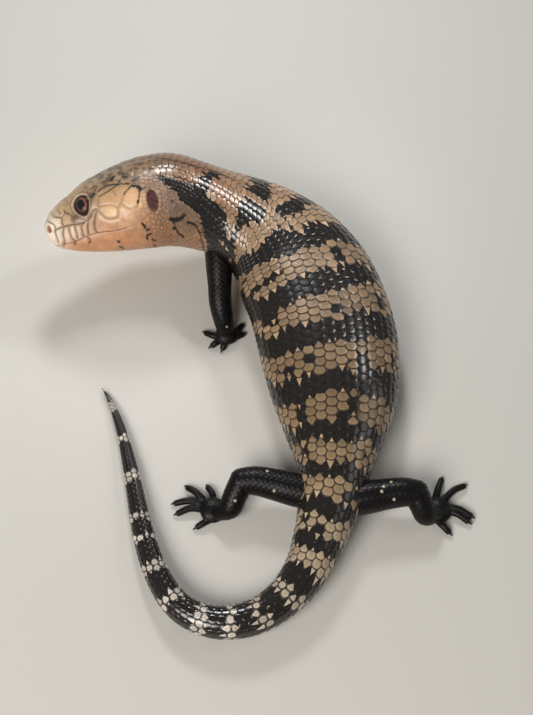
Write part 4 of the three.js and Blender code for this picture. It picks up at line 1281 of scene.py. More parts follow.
class ScalePlate:
    """One scale as a thin closed plate, in shares of its pitch along and round the body."""

    HALF_OUTLINE = (
        (0.5, 0.0), (0.495, 0.13), (0.475, 0.26), (0.42, 0.38), (0.32, 0.49), (0.18, 0.58),
        (0.02, 0.64), (-0.16, 0.655), (-0.38, 0.62), (-0.6, 0.5), (-0.78, 0.3), (-0.85, 0.0),
    )
    RINGS = (0.42, 0.72, 0.88, 0.96, 1.0)
    PLAIN_RINGS = (0.6, 0.9, 1.0)
    UNDER = 0.97
    MIDDLE = -0.12
    HALF_WIDTH = 0.667
    LENGTH = 1.35

    def __init__(self, skip: int = 1) -> None:
        """Makes the plate's points and faces.

        Args:
            skip: 2 for a plainer plate of half as many points.
        """
        half = [*self.HALF_OUTLINE[:-1:skip], self.HALF_OUTLINE[-1]]
        outline = np.array([*half, *[(x, -y) for x, y in half[-2:0:-1]]])
        rings = self.RINGS if skip == 1 else self.PLAIN_RINGS
        centre = np.array([self.MIDDLE, 0.0])
        n = len(outline)
        top = [centre[None]] + [centre + r * (outline - centre) for r in rings]
        under = centre + self.UNDER * (outline - centre)
        self.flat = np.concatenate([*top, under, centre[None]])
        self.share = np.concatenate([[0.0], np.repeat(rings, n), np.full(n, self.UNDER), [0.0]])
        self.below = np.concatenate([np.zeros(1 + n * len(rings), bool), np.ones(n + 1, bool)])
        j, i = np.arange(n), (np.arange(n) + 1) % n
        tris = [np.stack([np.zeros(n, int), 1 + i, 1 + j], 1)]
        for k in range(len(rings)):
            a, b = 1 + k * n, 1 + (k + 1) * n
            tris += [np.stack([a + j, a + i, b + i], 1), np.stack([a + j, b + i, b + j], 1)]
        last = 1 + len(rings) * n
        tris.append(np.stack([np.full(n, last + n), last + j, last + i], 1))
        self.tris = np.concatenate(tris)
        self.patch = self._patch(outline, centre, n, len(rings))

    def _patch(self, outline: Array, centre: Array, n: int, rings: int) -> Array:
        """Place of every face corner on the scale's own patch, both ways from -0.5 to 0.5."""
        around = centre + 1.06 * (outline - centre)
        wide = np.concatenate([self.flat[: 1 + rings * n], around, centre[None]])
        along = (wide[:, 0] + 0.94) / (self.LENGTH + 0.16) * 0.82 - 0.48
        across = wide[:, 1] / self.HALF_WIDTH * 0.43
        top = np.stack([along, across], 1)
        x = (self.flat[:, 0] + 0.85) / self.LENGTH * 0.1 + 0.37
        under = np.stack([x, self.flat[:, 1] / self.HALF_WIDTH * 0.43], 1)
        patch = top[self.tris]
        fan = len(self.tris) - n
        patch[fan:] = under[self.tris[fan:]]
        return patch.reshape(-1, 2)


@dataclass
class Lattice:
    """Places of many scales: along, round, their length, and how many stand in a full turn."""

    s: Array
    turn: Array
    pitch: Array
    columns: Array

    @classmethod
    def honeycomb(cls, start: float, end: float, pitch: Any, columns: Any) -> "Lattice":
        """Lays scales in rings, each ring shifted by half a column against the last.

        Args:
            start: Place of the first ring.
            end: Place where the rings stop.
            pitch: Table of the length of a scale by place.
            columns: Table of the columns round the body by place.

        Returns:
            The lattice.
        """
        rows = []
        s, k = start, 0
        while s < end:
            n = 2 * int(round(float(straight(columns, s)) / 2))
            step = float(straight(pitch, s))
            turn = (np.arange(k % 2, n, 2) + 0.5) / n
            turn = np.where(turn > 0.5, turn - 1, turn)
            rows.append(np.stack(np.broadcast_arrays(s, turn, step, n)))
            s += step / 2
            k += 1
        return cls(*np.concatenate(rows, 1))

    def keep(self, chosen: Array) -> "Lattice":
        """The lattice with only the chosen scales."""
        return Lattice(self.s[chosen], self.turn[chosen], self.pitch[chosen], self.columns[chosen])


@dataclass
class Coat:
    """Scales of one stretch, laid on a surface and overlapping rearwards."""

    surface: Surface
    lattice: Lattice
    plate: ScalePlate
    depth: float
    rise: float = 0.12
    crown: float = 0.09
    bevel: float = 0.06
    thickness: float = 0.09
    widen: float = 1.0

    def centres(self) -> tuple[Array, Array]:
        """Places and angles of the scales."""
        return self.lattice.s, self.surface.angle_of(self.lattice.s, self.lattice.turn)

    def spread(self) -> tuple[Array, Array]:
        """Places and angles of every point of every scale."""
        flat, lat = self.plate.flat, self.lattice
        s = lat.s[:, None] + flat[None, :, 0] * lat.pitch[:, None]
        turn = lat.turn[:, None] + flat[None, :, 1] * self.widen / lat.columns[:, None]
        return s, self.surface.angle_of(s, turn)

    def points(self) -> Array:
        """Points of all the scales, in millimetres."""
        flat, share = self.plate.flat, self.plate.share
        lat = self.lattice
        s, angle = self.spread()
        height = self.rise * lat.pitch[:, None]
        lean = 0.12 + 0.88 * (flat[:, 0] + 0.85) / self.plate.LENGTH
        h = height * lean[None]
        across = flat[:, 1] / self.plate.HALF_WIDTH
        h = h + (self.crown * (1 - across**2) - self.bevel * share**8)[None]
        h = h - np.where(self.plate.below, self.thickness, 0.0)[None]
        base = self.surface.skin(s, angle, -self.depth)
        return base + normals(self.surface, s, angle) * h[..., None]


# Least and greatest place on a bake map.
MAP_LOW, MAP_HIGH = 0.0005, 0.9995


def patch_map(coat: Coat, low_s: float, high_s: float, low_u: float, high_u: float) -> Array:
    """Bake places of all corners of a coat, filling the box from 0 to 1."""
    lat = coat.lattice
    patch = coat.plate.patch
    s = lat.s[:, None] + patch[None, :, 0] * lat.pitch[:, None]
    u = lat.turn[:, None] + patch[None, :, 1] / lat.columns[:, None]
    return np.stack([(u - low_u) / (high_u - low_u), (s - low_s) / (high_s - low_s)], -1)


def join_coats(
    name: str, coats: Sequence[tuple[Coat, Any]], strips: Sequence[float] | None = None
) -> Any:
    """Joins coats into one object with a bake map.

    Args:
        name: The object's name.
        coats: Each coat with the least and greatest place and turn of its map, or with None
            for its own.
        strips: Where each coat's strip of the map ends, for more than one coat.

    Returns:
        The object.
    """
    points, tris, place, map_rows = [], [], [], []
    start, low = 0, 0.0
    for k, (coat, spread) in enumerate(coats):
        p = coat.points()
        count, size = p.shape[:2]
        lat = coat.lattice
        if spread is None:
            half = lat.pitch.max() / 2
            edge = 0.5 / lat.columns.min()
            spread = (
                lat.s.min() - half, lat.s.max() + half,
                lat.turn.min() - edge, lat.turn.max() + edge,
            )
        uv = np.clip(patch_map(coat, *spread), MAP_LOW, MAP_HIGH)
        if strips is not None:
            uv[..., 0] = low + uv[..., 0] * (strips[k] - low)
            low = strips[k]
        points.append(p.reshape(-1, 3))
        faces = coat.plate.tris[None] + np.arange(count)[:, None, None] * size
        tris.append(faces.reshape(-1, 3) + start)
        along, across = coat.plate.flat.T
        own = np.stack([along, across / ScalePlate.HALF_WIDTH, coat.plate.share], 1)
        place.append(np.tile(own, (count, 1)))
        map_rows.append(uv.reshape(-1, 2))
        start += count * size
    no_quads = np.empty((0, 4), int)
    piece = mesh_object(name, to_world(np.concatenate(points)), no_quads, np.concatenate(tris))
    give(piece, "place", np.concatenate(place))
    layer = piece.data.uv_layers.new(name="OFBake")
    layer.data.foreach_set("uv", np.concatenate(map_rows).astype(np.float32).ravel())
    return piece


# Length of the large scales by place, and how many columns of them stand round the body.
PITCH = (
    (24.0, 1.15), (28, 1.2), (44, 1.3), (58, 1.6), (68, 1.9), (80, 2.05), (96, 2.15),
    (108, 2.05), (118, 2.0), (128, 2.1), (134, 2.05), (141, 2.0), (150, 1.9), (165, 1.75),
    (190, 1.45), (233, 1.0),
)
COLUMNS = (
    (24.0, 30), (44, 32), (52, 36), (95, 36), (100, 34), (105, 32), (109, 30), (113, 28),
    (117, 26), (121, 24), (126, 20), (140, 18), (152, 16), (165, 14), (185, 12), (200, 10),
    (215, 8), (233, 8),
)
# The same for the small scales of the neck's sides.
SMALL_PITCH = ((26, 0.72), (33, 0.8), (40, 1.1), (45, 1.3))
SMALL_COLUMNS = ((26, 76), (33, 70), (40, 54), (45, 44))
# Angle by place at which the large scales of the nape give way to the small ones beside them.
SIDE_FROM = ((25.0, 33), (27, 35), (30, 41), (36, 46), (44, 56), (46, 70))
# Place by angle at which the large and the small scales begin.
LARGE_START = ((0, 25.2), (28, 25.6), (40, 27.0), (140, 27.0), (180, 25.6))
SMALL_START = ((30, 26.2), (60, 27.6), (90, 27.6), (140, 26.6))


@dataclass
class BodyCoats:
    """Scales of the neck, trunk and tail with their markings."""

    body: Body
    marks: Markings
    depth: float = COAT_DEPTH
    margin: float = 1.4
    beyond: float = 3.0
    reach: float = 0.42
    small_from: int = 40
    stretches: tuple[tuple[str, float, float], ...] = (
        ("coat_nape", 25.2, 45.0), ("coat_chest", 45.0, 68.0), ("coat_trunk", 68.0, 98.0),
        ("coat_loin", 98.0, 127.0), ("coat_tail_base", 127.0, 165.0), ("coat_tail", 165.0, 193.0),
        ("coat_tail_end", 193.0, 232.4),
    )

    def large(self) -> Lattice:
        """Large scales from the nape to the tail tip."""
        lattice = Lattice.honeycomb(25.6, 232.2, PITCH, COLUMNS)
        angle = np.abs(self.body.angle_of(lattice.s, lattice.turn))
        on_side = (lattice.s < 45.2) & (angle > straight(SIDE_FROM, lattice.s)) & (angle < 142)
        return lattice.keep(~on_side & (lattice.s > straight(LARGE_START, angle)))

    def small(self) -> Lattice:
        """Small scales of the neck's sides, finest behind the ear."""
        lattice = Lattice.honeycomb(26.6, 45.5, SMALL_PITCH, SMALL_COLUMNS)
        angle = np.abs(self.body.angle_of(lattice.s, lattice.turn))
        on_side = (angle > straight(SIDE_FROM, lattice.s)) & (angle < 146)
        return lattice.keep(on_side & (lattice.s > straight(SMALL_START, angle)))

    def dress(self, piece: Any, coat: Coat) -> None:
        """Gives every scale its share of light and its colour.

        Args:
            piece: The coat's object.
            coat: The coat that made it.
        """
        rng = np.random.default_rng(SEED + int(coat.lattice.s[0]))
        lat = coat.lattice
        s, angle = coat.centres()
        n = len(s)
        column = np.round(lat.turn * lat.columns).astype(int)
        shift = np.random.default_rng(SEED).uniform(-0.4, 0.4, 64)[column % 64] * lat.pitch
        shift = shift * 0.6 + rng.normal(0, 0.16, n) * lat.pitch * (s > 58)
        middle, front, rear = (
            self.marks.light(s + shift + share * lat.pitch, angle) > 0.5
            for share in (0.0, -self.reach, self.reach)
        )
        low, high = np.full(n, self.beyond), np.full(n, -self.beyond)
        slope = np.full(n, 0.5)

        def cut(chosen: Array, which: Array, least: float, most: float, steep: float) -> None:
            """Draws where the light of the chosen scales begins or ends."""
            which[chosen] = rng.uniform(least, most, n)[chosen]
            slope[chosen] = steep * rng.uniform(0.75, 1.3, n)[chosen]

        low[middle], high[middle] = -self.beyond, self.beyond
        tip, root = ~middle & rear, ~middle & front & ~rear
        high[tip], low[root] = self.beyond, -self.beyond
        cut(tip, low, -0.15, 0.15, 1.4)
        cut(root, high, 0.1, 0.45, 2.0)
        cut(middle & ~front, low, -0.7, -0.35, 0.8)
        cut(middle & ~rear, high, 0.4, 0.75, 0.9)
        odd = middle & (rng.random(n) < 0.05) & (s > 60)
        low[odd], high[odd] = self.beyond, -self.beyond
        size = len(coat.plate.flat)
        tone = self.marks.tone(s, angle) * rng.normal(1, 0.07, n)[:, None]
        fringe = (self.marks.light(s, angle + 7) < 0.5) & (s < 47) & (angle > 20)
        tone[fringe] = tone[fringe] * 0.45 + srgb(222, 202, 172) * 0.55
        # Light scales at the edges of the dark bands made paler: partly their own pale tips, partly
        # a painted glint.
        pale_tip_and_glint_gain = np.clip(0.66 / tone.max(1), 1.04, 1.75)[:, None]
        tone[tip | root] = (tone * pale_tip_and_glint_gain + 0.03)[tip | root]
        small = lat.columns > self.small_from
        # Each scale darker at its front and lighter towards its rear edge, most on the small
        # scales: painted shade and painted highlight.
        lean = ((coat.plate.flat[:, 0] + 0.85) / ScalePlate.LENGTH)[None, :, None]
        shade_and_highlight = np.where(small[:, None, None], 0.62 + 0.62 * lean**2, 0.88 + 0.2 * lean)
        hue = tone[:, None] * shade_and_highlight
        give(piece, "hue", np.clip(hue.reshape(-1, 3), 0, 1))
        give(piece, "mark", np.repeat(np.stack([low, high, slope], 1), size, 0))
        soft = small * (0.85 - 0.6 * smoothstep(34, 42, s)) - 0.13 * smoothstep(138, 155, s)
        own = np.repeat(np.stack([rng.random(n), soft, np.zeros(n)], 1), size, 0)
        if s.min() < 45:
            at = [x.ravel() for x in coat.spread()]
            own[:, 2] = np.maximum(self.marks.spots(*at), self.marks.middle_line(*at))
        give(piece, "own", own)

    def build(self) -> list[Any]:
        """Makes the coats' objects."""
        large, plate = self.large(), ScalePlate()
        coats = []
        for name, low, high in self.stretches:
            stretch = large.keep((large.s >= low) & (large.s < high))
            spread = (low - self.margin, high + self.margin, -0.54, 0.54)
            coats.append((name, Coat(self.body, stretch, plate, self.depth), spread))
        small = Coat(
            self.body, self.small(), ScalePlate(2), self.depth, rise=0.16, crown=0.05, bevel=0.04
        )
        coats.append(("coat_neck_sides", small, (26.0, 46.6, -0.45, 0.45)))
        pieces = []
        for name, coat, spread in coats:
            pieces.append(join_coats(name, [(coat, spread)]))
            self.dress(pieces[-1], coat)
        return pieces


# Pale scales of the legs: part (0 upper, 1 lower), place along it and angle.
PALE_DOTS = {
    "hindleg_left": ((0, 10.0, 20), (0, 7.4, -32), (1, 3.6, -40)),
    "hindleg_right": ((0, 7.0, -12), (0, 6.6, 8), (0, 9.4, -36), (0, 9.6, 48)),
    "foreleg_left": ((1, 10.0, -20),),
    "foreleg_right": ((1, 8.0, -24),),
}


@dataclass
class LimbCoat:
    """Scales of one leg, foot and its toes."""

    body: Body
    limb: Limb
    out_of_body: float = 0.985
    covered: float = 0.12
    sole_turn: float = 0.36

    def shapes(self) -> list[tuple[Any, float, int, float]]:
        """Surfaces of the leg with their scale length, columns and share of the bake map."""
        toes = [(digit, 0.8, 8, 0.81 + 0.047 * k) for k, digit in enumerate(self.limb.digits)]
        return [
            (self.limb.thigh, 1.25, 20, 0.34), (self.limb.shin, 1.1, 18, 0.62),
            (self.limb.pad, 0.8, 18, 0.76), *toes,
        ]

    def coat(self, k: int, shape: Any, pitch: float, columns: int) -> Coat:
        """Scales of one shape of the leg, without those buried in the others."""
        over = 0.0 if isinstance(shape, Palm) else 0.9 * shape.end_radius
        start = 0.5 if k < 3 else 0.7
        end = shape.total + over - 0.3
        lattice = Lattice.honeycomb(start, end, [(0, pitch)], [(0, columns)])
        angle = shape.angle_of(lattice.s, lattice.turn)
        p = shape.skin(lattice.s, angle)
        keep = np.ones(len(p), bool)
        if k < 2:
            keep &= self.body.ratio(p) > self.out_of_body
        for other in self.limb.shapes:
            if other is not shape:
                keep &= other.cover(p) < self.covered
        if k >= 2:
            keep &= np.abs(lattice.turn) < self.sole_turn
        rise, crown = (0.13, 0.03) if k < 2 else (0.08, 0.04)
        return Coat(
            shape, lattice.keep(keep), ScalePlate(2), coat_depth(shape), rise, crown,
            bevel=0.05, thickness=0.07, widen=1.3,
        )

    def dots(self, part: int, s: Array, angle: Array) -> Array:
        """True for the pale scales of one part of the leg."""
        chosen = np.zeros(len(s), bool)
        for which, place, turn in PALE_DOTS[self.limb.name]:
            if which == part:
                chosen[(np.abs(s - place) + off_back(angle - turn) * 0.05).argmin()] = True
        return chosen

    def build(self) -> Any:
        """Makes the coat's object."""
        coats, strips, spots = [], [], []
        for k, (shape, pitch, columns, strip) in enumerate(self.shapes()):
            coat = self.coat(k, shape, pitch, columns)
            if len(coat.lattice.s):
                coats.append(coat)
                strips.append(strip)
                spots.append(self.dots(k, *coat.centres()))
        strips[-1] = 1.0
        piece = join_coats(f"coat_{self.limb.name}", [(c, None) for c in coats], strips)
        rng = np.random.default_rng(SEED + 5)
        n = sum(len(c.lattice.s) for c in coats)
        size = len(coats[0].plate.flat)
        pale = np.concatenate(spots)[:, None]
        give(piece, "hue", np.tile(srgb(204, 192, 168), (n * size, 1)))
        give(piece, "mark", np.repeat(np.where(pale, (-0.15, 0.6, 0.8), (3.0, -3.0, 0.8)), size, 0))
        own = np.stack([rng.random(n), np.zeros(n), np.zeros(n)], 1)
        give(piece, "own", np.repeat(own, size, 0))
        return piece


@dataclass
class Claws:
    """Small dark claws on the tips of all toes."""

    limbs: Sequence[Limb]
    length: float = 1.0
    root: float = 0.42
    tip: float = 0.08
    sides: int = 14
    rings: int = 10

    def build(self) -> Any:
        """Makes all claws as one object."""
        points, quads, tris, start = [], [], [], 0
        for limb in self.limbs:
            for _, b, c in limb.toes:
                ahead = unit(np.array([c[0] - b[0], c[1] - b[1], 0.0]))
                side = np.array([-ahead[1], ahead[0], 0.0])
                rows = []
                for t in np.linspace(0, 1, self.rings):
                    far = 0.1 + (self.length + 0.3) * t * (1 - 0.12 * t * t)
                    middle = np.array([c[0], c[1], 0]) + ahead * far
                    middle[2] = 0.7 + 0.3 * t * (1 - t) - 0.5 * t**2.5
                    radius = self.root * (1 - t**1.6) + self.tip * t
                    turn = np.arange(self.sides) * math.tau / self.sides
                    ring = np.cos(turn)[:, None] * np.array([0, 0, 1.15])
                    ring = ring - np.sin(turn)[:, None] * side * 0.8
                    rows.append(middle + ring * radius)
                rows = np.array(rows)
                q, t = grid_faces([self.sides] * self.rings)
                points += [rows.reshape(-1, 3), np.array([rows[0].mean(0), rows[-1].mean(0)])]
                quads.append(q + start)
                tris.append(t + start)
                start += self.sides * self.rings + 2
        p = np.concatenate(points)
        p[:, 2] = np.maximum(p[:, 2], 0.03)
        return mesh_object("claws", to_world(p), np.concatenate(quads), np.concatenate(tris))


@dataclass
class Eyeball:
    """Glossy eye behind its lids; each point keeps its place across and in front of the eye."""

    detail: HeadDetail
    name: str
    seat: Seat
    columns: int = 96
    rings: int = 64

    def build(self) -> Any:
        """Makes the eyeball."""
        centre = self.detail.eyeball(self.seat)
        fall = np.linspace(0.02, math.pi - 0.02, self.rings)
        turn = np.arange(self.columns) * math.tau / self.columns
        f, t = np.meshgrid(fall, turn, indexing="ij")
        axes = [self.seat.first, self.seat.second, self.seat.out]
        ball = [np.sin(f) * np.cos(t), np.sin(f) * np.sin(t), np.cos(f)]
        out = sum(b[..., None] * a for a, b in zip(axes, ball))
        p = centre + out * self.detail.eye_radius
        ends = centre + np.array([self.seat.out, -self.seat.out]) * self.detail.eye_radius
        q, tr = grid_faces([self.columns] * self.rings)
        points = np.concatenate([p.reshape(-1, 3), ends])
        if np.cross(axes[0], axes[1]) @ axes[2] > 0:
            q, tr = q[:, ::-1], tr[:, ::-1]
        piece = mesh_object(self.name, to_world(points), q, tr)
        d = unit(points - centre)
        give(piece, "gaze", np.stack([d @ axis for axis in axes], 1) * self.detail.eye_radius)
        return piece


class Sockets:
    """A node socket that adds, multiplies and compares like a number."""

    def __init__(self, tree: Any, socket: Any) -> None:
        """Wraps a socket of a node tree."""
        self.tree, self.socket = tree, socket

    @staticmethod
    def raw(value: Any) -> Any:
        """The socket inside a wrapper, or the plain value."""
        return value.socket if isinstance(value, Sockets) else value

    def node(
        self, kind: str, settings: dict[str, Any], inputs: dict[Any, Any], output: Any = 0
    ) -> "Sockets":
        """Adds any node.

        Args:
            kind: Its type.
            settings: Its properties.
            inputs: Values or links by the name or number of the socket.
            output: Which output to return.

        Returns:
            The output.
        """
        made = self.tree.nodes.new(kind)
        for key, value in settings.items():
            setattr(made, key, value)
        for key, value in inputs.items():
            value = self.raw(value)
            if isinstance(value, bpy.types.NodeSocket):
                self.tree.links.new(value, made.inputs[key])
            else:
                made.inputs[key].default_value = value
        return Sockets(self.tree, made.outputs[output])

    def math(self, operation: str, *values: Any, clamp: bool = False) -> "Sockets":
        """A Math node on this socket and the others."""
        settings = {"operation": operation, "use_clamp": clamp}
        return self.node("ShaderNodeMath", settings, dict(enumerate([self, *values])))

    def __add__(self, other: Any) -> "Sockets":
        """This socket and another, added."""
        return self.math("ADD", other)

    def __sub__(self, other: Any) -> "Sockets":
        """This socket less another."""
        return self.math("SUBTRACT", other)

    def __mul__(self, other: Any) -> "Sockets":
        """This socket times another."""
        return self.math("MULTIPLY", other)

    def step(self, low: float, high: float) -> "Sockets":
        """Soft step from 0 at low to 1 at high."""
        return self.node(
            "ShaderNodeMapRange",
            {"interpolation_type": "SMOOTHSTEP"},
            {"Value": self, "From Min": low, "From Max": high},
        )

    def mix(self, dark: Any, light: Any) -> "Sockets":
        """Colour between two others by this share."""
        first, second = ((*v, 1.0) if isinstance(v, tuple) else v for v in (dark, light))
        inputs = {"Factor": self, 6: first, 7: second}
        return self.node("ShaderNodeMix", {"data_type": "RGBA"}, inputs, 2)

    def axes(self) -> list["Sockets"]:
        """The three parts of a vector."""
        first = self.node("ShaderNodeSeparateXYZ", {}, {0: self})
        made = first.socket.node
        return [Sockets(self.tree, made.outputs[k]) for k in range(3)]


@dataclass(frozen=True)
class Finish:
    """Base of the finishes: one Principled surface and what feeds it."""

    name: str

    def paint(self, start: Sockets, surface: Any) -> None:
        """Links the finish into the surface."""
        raise NotImplementedError

    def make(self) -> Any:
        """Builds the material."""
        material = bpy.data.materials.new(self.name)
        material.use_nodes = True
        tree = material.node_tree
        surface = next(n for n in tree.nodes if n.type == "BSDF_PRINCIPLED")
        self.paint(Sockets(tree, surface.outputs[0]), surface)
        return material

    @staticmethod
    def link(surface: Any, **inputs: Any) -> None:
        """Sets or links inputs of the surface; an underscore stands for a space."""
        for key, value in inputs.items():
            socket = surface.inputs[key.replace("_", " ")]
            value = Sockets.raw(value)
            if isinstance(value, bpy.types.NodeSocket):
                surface.id_data.links.new(value, socket)
            else:
                socket.default_value = value


def attribute(start: Sockets, name: str) -> Sockets:
    """Vector stored on a piece."""
    return start.node("ShaderNodeAttribute", {"attribute_name": name}, {}, "Vector")


def noise(start: Sockets, scale: float, detail: float = 3.0) -> Sockets:
    """Noise in the object's own space."""
    place = start.node("ShaderNodeTexCoord", {}, {}, "Object")
    return start.node("ShaderNodeTexNoise", {}, {"Vector": place, "Scale": scale, "Detail": detail})


def grain_bump(start: Sockets, scale: float, strength: float, distance: float) -> Sockets:
    """Normal of a faintly rough surface."""
    inputs = {"Strength": strength, "Distance": distance, "Height": noise(start, scale, 2.0)}
    return start.node("ShaderNodeBump", {}, inputs, "Normal")


def tint(*rgb: float) -> tuple[float, ...]:
    """Colour for a node socket, from a screen colour."""
    return tuple(float(v) for v in srgb(*rgb))


@dataclass(frozen=True)
class SkinFinish(Finish):
    """Skin of the head, with the ground under the scales."""

    def paint(self, start: Sockets, surface: Any) -> None:
        """Colours shields, seams, lids and openings."""
        light, seam, spot = attribute(start, "masks").axes()
        lid, pit, limb = attribute(start, "parts").axes()
        shade, line, top = attribute(start, "extra").axes()
        hue = attribute(start, "hue")
        fine, broad = noise(start, 2600.0), noise(start, 420.0)
        wide, ring, nose = attribute(start, "painted_shade_and_nostril").axes()
        # The wide surround of seams and mouth is darkened here as painted shade, which leaves the
        # shields' middles lighter.
        value = fine * 0.4 + broad * 0.5 + shade * 0.16 + 0.52 - wide * 0.4
        colour = value.node("ShaderNodeHueSaturation", {}, {"Value": value, "Color": hue})
        uneven = (broad * 2.6 - 0.5).math("ADD", 0.0, clamp=True)
        colour = (seam * (uneven * 0.5 + 0.4)).mix(colour, tint(98, 66, 46))
        mottle = (noise(start, 620.0, 5.0) + (fine - 0.5) * 0.3).step(0.49, 0.56) * top * 0.8
        colour = mottle.mix(colour, tint(56, 46, 38))
        # Painted shade in the fold round each lid.
        colour = (ring * 0.85).mix(colour, tint(84, 62, 48))
        colour = line.mix(colour, tint(48, 36, 26))
        colour = light.mix(tint(30, 27, 23), colour)
        colour = spot.mix(colour, tint(34, 27, 22))
        colour = limb.mix(colour, tint(22, 18, 15))
        colour = (lid * 0.55).mix(colour, tint(226, 206, 184))
        flesh = noise(start, 1100.0, 2.0).step(0.35, 0.75).mix(tint(58, 24, 24), tint(104, 54, 48))
        flesh = nose.mix(flesh, tint(152, 98, 68))
        colour = pit.mix(colour, flesh)
        bump = grain_bump(start, 5200.0, 0.12, 0.00004)
        self.link(surface, Base_Color=colour, Roughness=pit * 0.3 + 0.4, Normal=bump)
        self.link(surface, Coat_Weight=(pit * -1.0 + 1.0) * 0.25, Coat_Roughness=0.22)


@dataclass(frozen=True)
class ScaleFinish(Finish):
    """Glossy scales, dark with light bands, or plain dark on the legs."""

    ground: tuple[float, float, float] = (29, 25, 21)
    rim: float = 0.95
    roughness: float = 0.22
    specular: float = 0.5
    coat: float = 0.3

    def paint(self, start: Sockets, surface: Any) -> None:
        """Colours each scale by its own mark and rim."""
        along, across, share = attribute(start, "place").axes()
        low, high, slope = attribute(start, "mark").axes()
        own, pale, spot = attribute(start, "own").axes()
        hue = attribute(start, "hue")
        fine = noise(start, 3000.0)
        edge = across.math("ABSOLUTE")
        reach = slope * edge
        wobble = (fine - 0.5) * 0.22
        front = (along - low - reach + wobble).step(-0.05, 0.07)
        rear = (high - reach - along + wobble).step(-0.05, 0.07)
        tan = front * rear
        value = fine * 0.34 + own * 0.28 + share * 0.26 + 0.38
        light = value.node("ShaderNodeHueSaturation", {}, {"Value": value, "Color": hue})
        colour = tan.mix(tint(*self.ground), light)
        wide = (pale * -1.0).math("MAXIMUM", 0.0)
        outline = (share + wide + (fine - 0.5) * 0.08).step(0.7, 0.83) * self.rim
        rim = (pale * 0.5 + 0.08).mix(tint(24, 21, 18), light)
        colour = (outline * tan).mix(colour, rim)
        colour = spot.mix(colour, tint(30, 25, 21))
        bump = grain_bump(start, 7000.0, 0.1, 0.00003)
        rough = tan * 0.1 + self.roughness
        self.link(surface, Base_Color=colour, Roughness=rough, Coat_Weight=self.coat, Normal=bump)
        self.link(surface, Coat_Roughness=0.13, Specular_IOR_Level=self.specular)


@dataclass(frozen=True)
class EyeFinish(Finish):
    """Red-brown iris round a black pupil."""

    def paint(self, start: Sockets, surface: Any) -> None:
        """Colours the pupil and iris, with painted light and shade across the iris, a dark ring
        round it partly painted shade, and painted shadow inside the lids.
        """
        x, y, _ = attribute(start, "gaze").axes()
        x, y = x + 0.16, (y - 0.16) * 0.76
        length = (x * x + y * y).math("SQRT")
        fine = noise(start, 3200.0)
        # The iris lighter on its side away from the snout and darker towards it: painted light and
        # shade.
        lit = (x * -0.42 + fine * 0.9).step(0.2, 0.9)
        iris = lit.mix(tint(84, 64, 54), tint(122, 80, 62))
        colour = length.step(0.84, 0.98).mix(tint(30, 34, 36), iris)
        # Dark outer ring of the iris, partly its own colour and partly painted shade next to the
        # lids.
        colour = (length + (fine - 0.5) * 0.2).step(1.2, 1.5).mix(colour, tint(54, 40, 32))
        # Painted shadow inside the lids at the front and top of the eye.
        lid_shadow = (x * 0.9 + y * 0.4 + (fine - 0.5) * 0.2).step(1.2, 1.55)
        colour = lid_shadow.mix(colour, tint(22, 14, 12))
        self.link(surface, Base_Color=colour, Roughness=0.13, Specular_IOR_Level=0.14)


@dataclass(frozen=True)
class PlainFinish(Finish):
    """One plain colour."""

    colour: tuple[float, float, float] = (20, 17, 15)
    roughness: float = 0.25
    coat: float = 0.3

    def paint(self, start: Sockets, surface: Any) -> None:
        """Sets the plain values."""
        self.link(surface, Base_Color=(*tint(*self.colour), 1.0), Roughness=self.roughness)
        self.link(surface, Coat_Weight=self.coat)


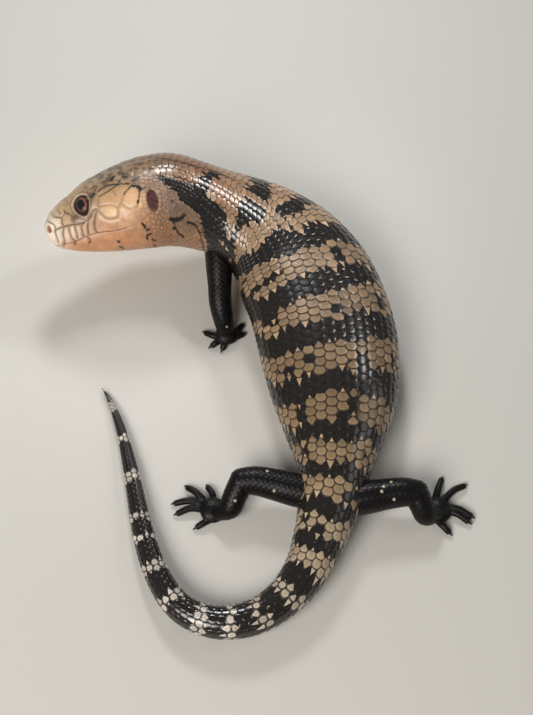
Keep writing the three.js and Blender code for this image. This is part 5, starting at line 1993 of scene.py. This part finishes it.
@dataclass
class Studio:
    """Pale floor, soft lights and the camera."""

    elevation: float = 62.0
    distance: float = 300.0
    field_of_view: float = 31.94
    floor_half: float = 1400.0

    def floor(self) -> None:
        """Makes the floor."""
        p = np.array([[-1, -1, 0], [1, -1, 0], [1, 1, 0], [-1, 1, 0]]) * self.floor_half
        floor = mesh_object("floor", p * MM, np.array([[0, 1, 2, 3]]), np.empty((0, 3), int))
        floor.data.materials.append(PlainFinish("floor", (204, 201, 194), 0.8, 0.0).make())

    def lamp(
        self, name: str, place: Sequence[float], size: float, power: float, colour: Any,
        aim: Sequence[float] = (0, 0, 10), spread: float = 180.0,
    ) -> None:
        """Adds a soft lamp.

        Args:
            name: Name of the lamp.
            place: Where it stands, in millimetres.
            size: Width of its disc in millimetres.
            power: Its power in watts.
            colour: Its colour.
            aim: The point it looks at.
            spread: Angle of its beam in degrees.
        """
        data = bpy.data.lights.new(name, "AREA")
        data.shape, data.size, data.energy, data.color = "DISK", size * MM, power, colour
        data.spread = math.radians(spread)
        lamp = show(name, data)
        at, to = (Vector([v * MM for v in q]) for q in (place, aim))
        lamp.location = at
        lamp.rotation_euler = (at - to).to_track_quat("Z", "Y").to_euler()

    def camera(self) -> None:
        """Sets the camera as the picture was taken."""
        e = math.radians(self.elevation)
        back = Vector((0, -math.cos(e), math.sin(e)))
        data = bpy.data.cameras.new("camera")
        data.sensor_fit = "VERTICAL"
        data.angle_y = math.radians(self.field_of_view)
        data.clip_start = 0.01
        camera = show("camera", data)
        camera.location = back * self.distance * MM + Vector([v * MM for v in ORIGIN])
        camera.rotation_euler = back.to_track_quat("Z", "Y").to_euler()
        bpy.context.scene.camera = camera

    def build(self) -> None:
        """Sets floor, lamps, world and camera."""
        self.floor()
        self.lamp("key", (-190, -300, 360), 280, 2.0, (1.0, 0.965, 0.92))
        self.lamp("glint", (-20, 200, 210), 60, 0.34, (0.97, 0.98, 1.0))
        self.lamp("side", (330, 40, 260), 220, 0.14, (1.0, 0.98, 0.95))
        self.lamp("shoulder", (125, 125, 180), 60, 0.006, (1.0, 0.99, 0.97), (-4, 42, 20), 24.0)
        world = bpy.data.worlds.new("studio")
        world.use_nodes = True
        ground = world.node_tree.nodes["Background"]
        ground.inputs["Color"].default_value = (0.82, 0.84, 0.86, 1.0)
        ground.inputs["Strength"].default_value = 0.2
        bpy.context.scene.world = world
        bpy.context.scene.view_settings.view_transform = "Standard"
        self.camera()


# Nodes that the skin stands for.
FLESH = (
    "head", "neck", "chest", "trunk_front", "trunk_rear", "pelvis",
    *[f"tail_{k}" for k in range(1, 7)],
    *[f"{leg}_{side}_{part}" for leg in ("foreleg", "hindleg") for side in ("left", "right")
      for part in ("upper", "lower", "foot")],
)


def wear(piece: Any, finish: Any) -> None:
    """Dresses a piece and ties it to the record."""
    piece.data.materials.append(finish)
    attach(piece, ROOT)
    faces = sum(len(p.vertices) - 2 for p in piece.data.polygons)
    LOG.info("%s: %d triangles", piece.name, faces)


def main() -> None:
    """Builds the animal, its coat and the studio."""
    logging.basicConfig(level=logging.INFO, format="%(message)s")
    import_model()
    body = Body()
    marks = Markings(body)
    detail = HeadDetail(body)
    skin = Skin(body, detail, marks, LIMBS).build()
    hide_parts(*FLESH)
    wear(skin, SkinFinish("skin").make())
    scales = ScaleFinish("scales").make()
    for piece in BodyCoats(body, marks).build():
        wear(piece, scales)
    dark_scales = ScaleFinish("leg scales", (12, 9, 8), 0.5, 0.38, 0.25, 0.0).make()
    for limb in LIMBS:
        wear(LimbCoat(body, limb).build(), dark_scales)
    wear(Claws(LIMBS).build(), PlainFinish("claw").make())
    iris = EyeFinish("eye").make()
    for node, seat in zip(("eye_left", "eye_right"), detail.eyes):
        ball = Eyeball(detail, f"{node}ball", seat).build()
        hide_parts(node)
        wear(ball, iris)
    Studio().build()


if __name__ == "__main__":
    main()
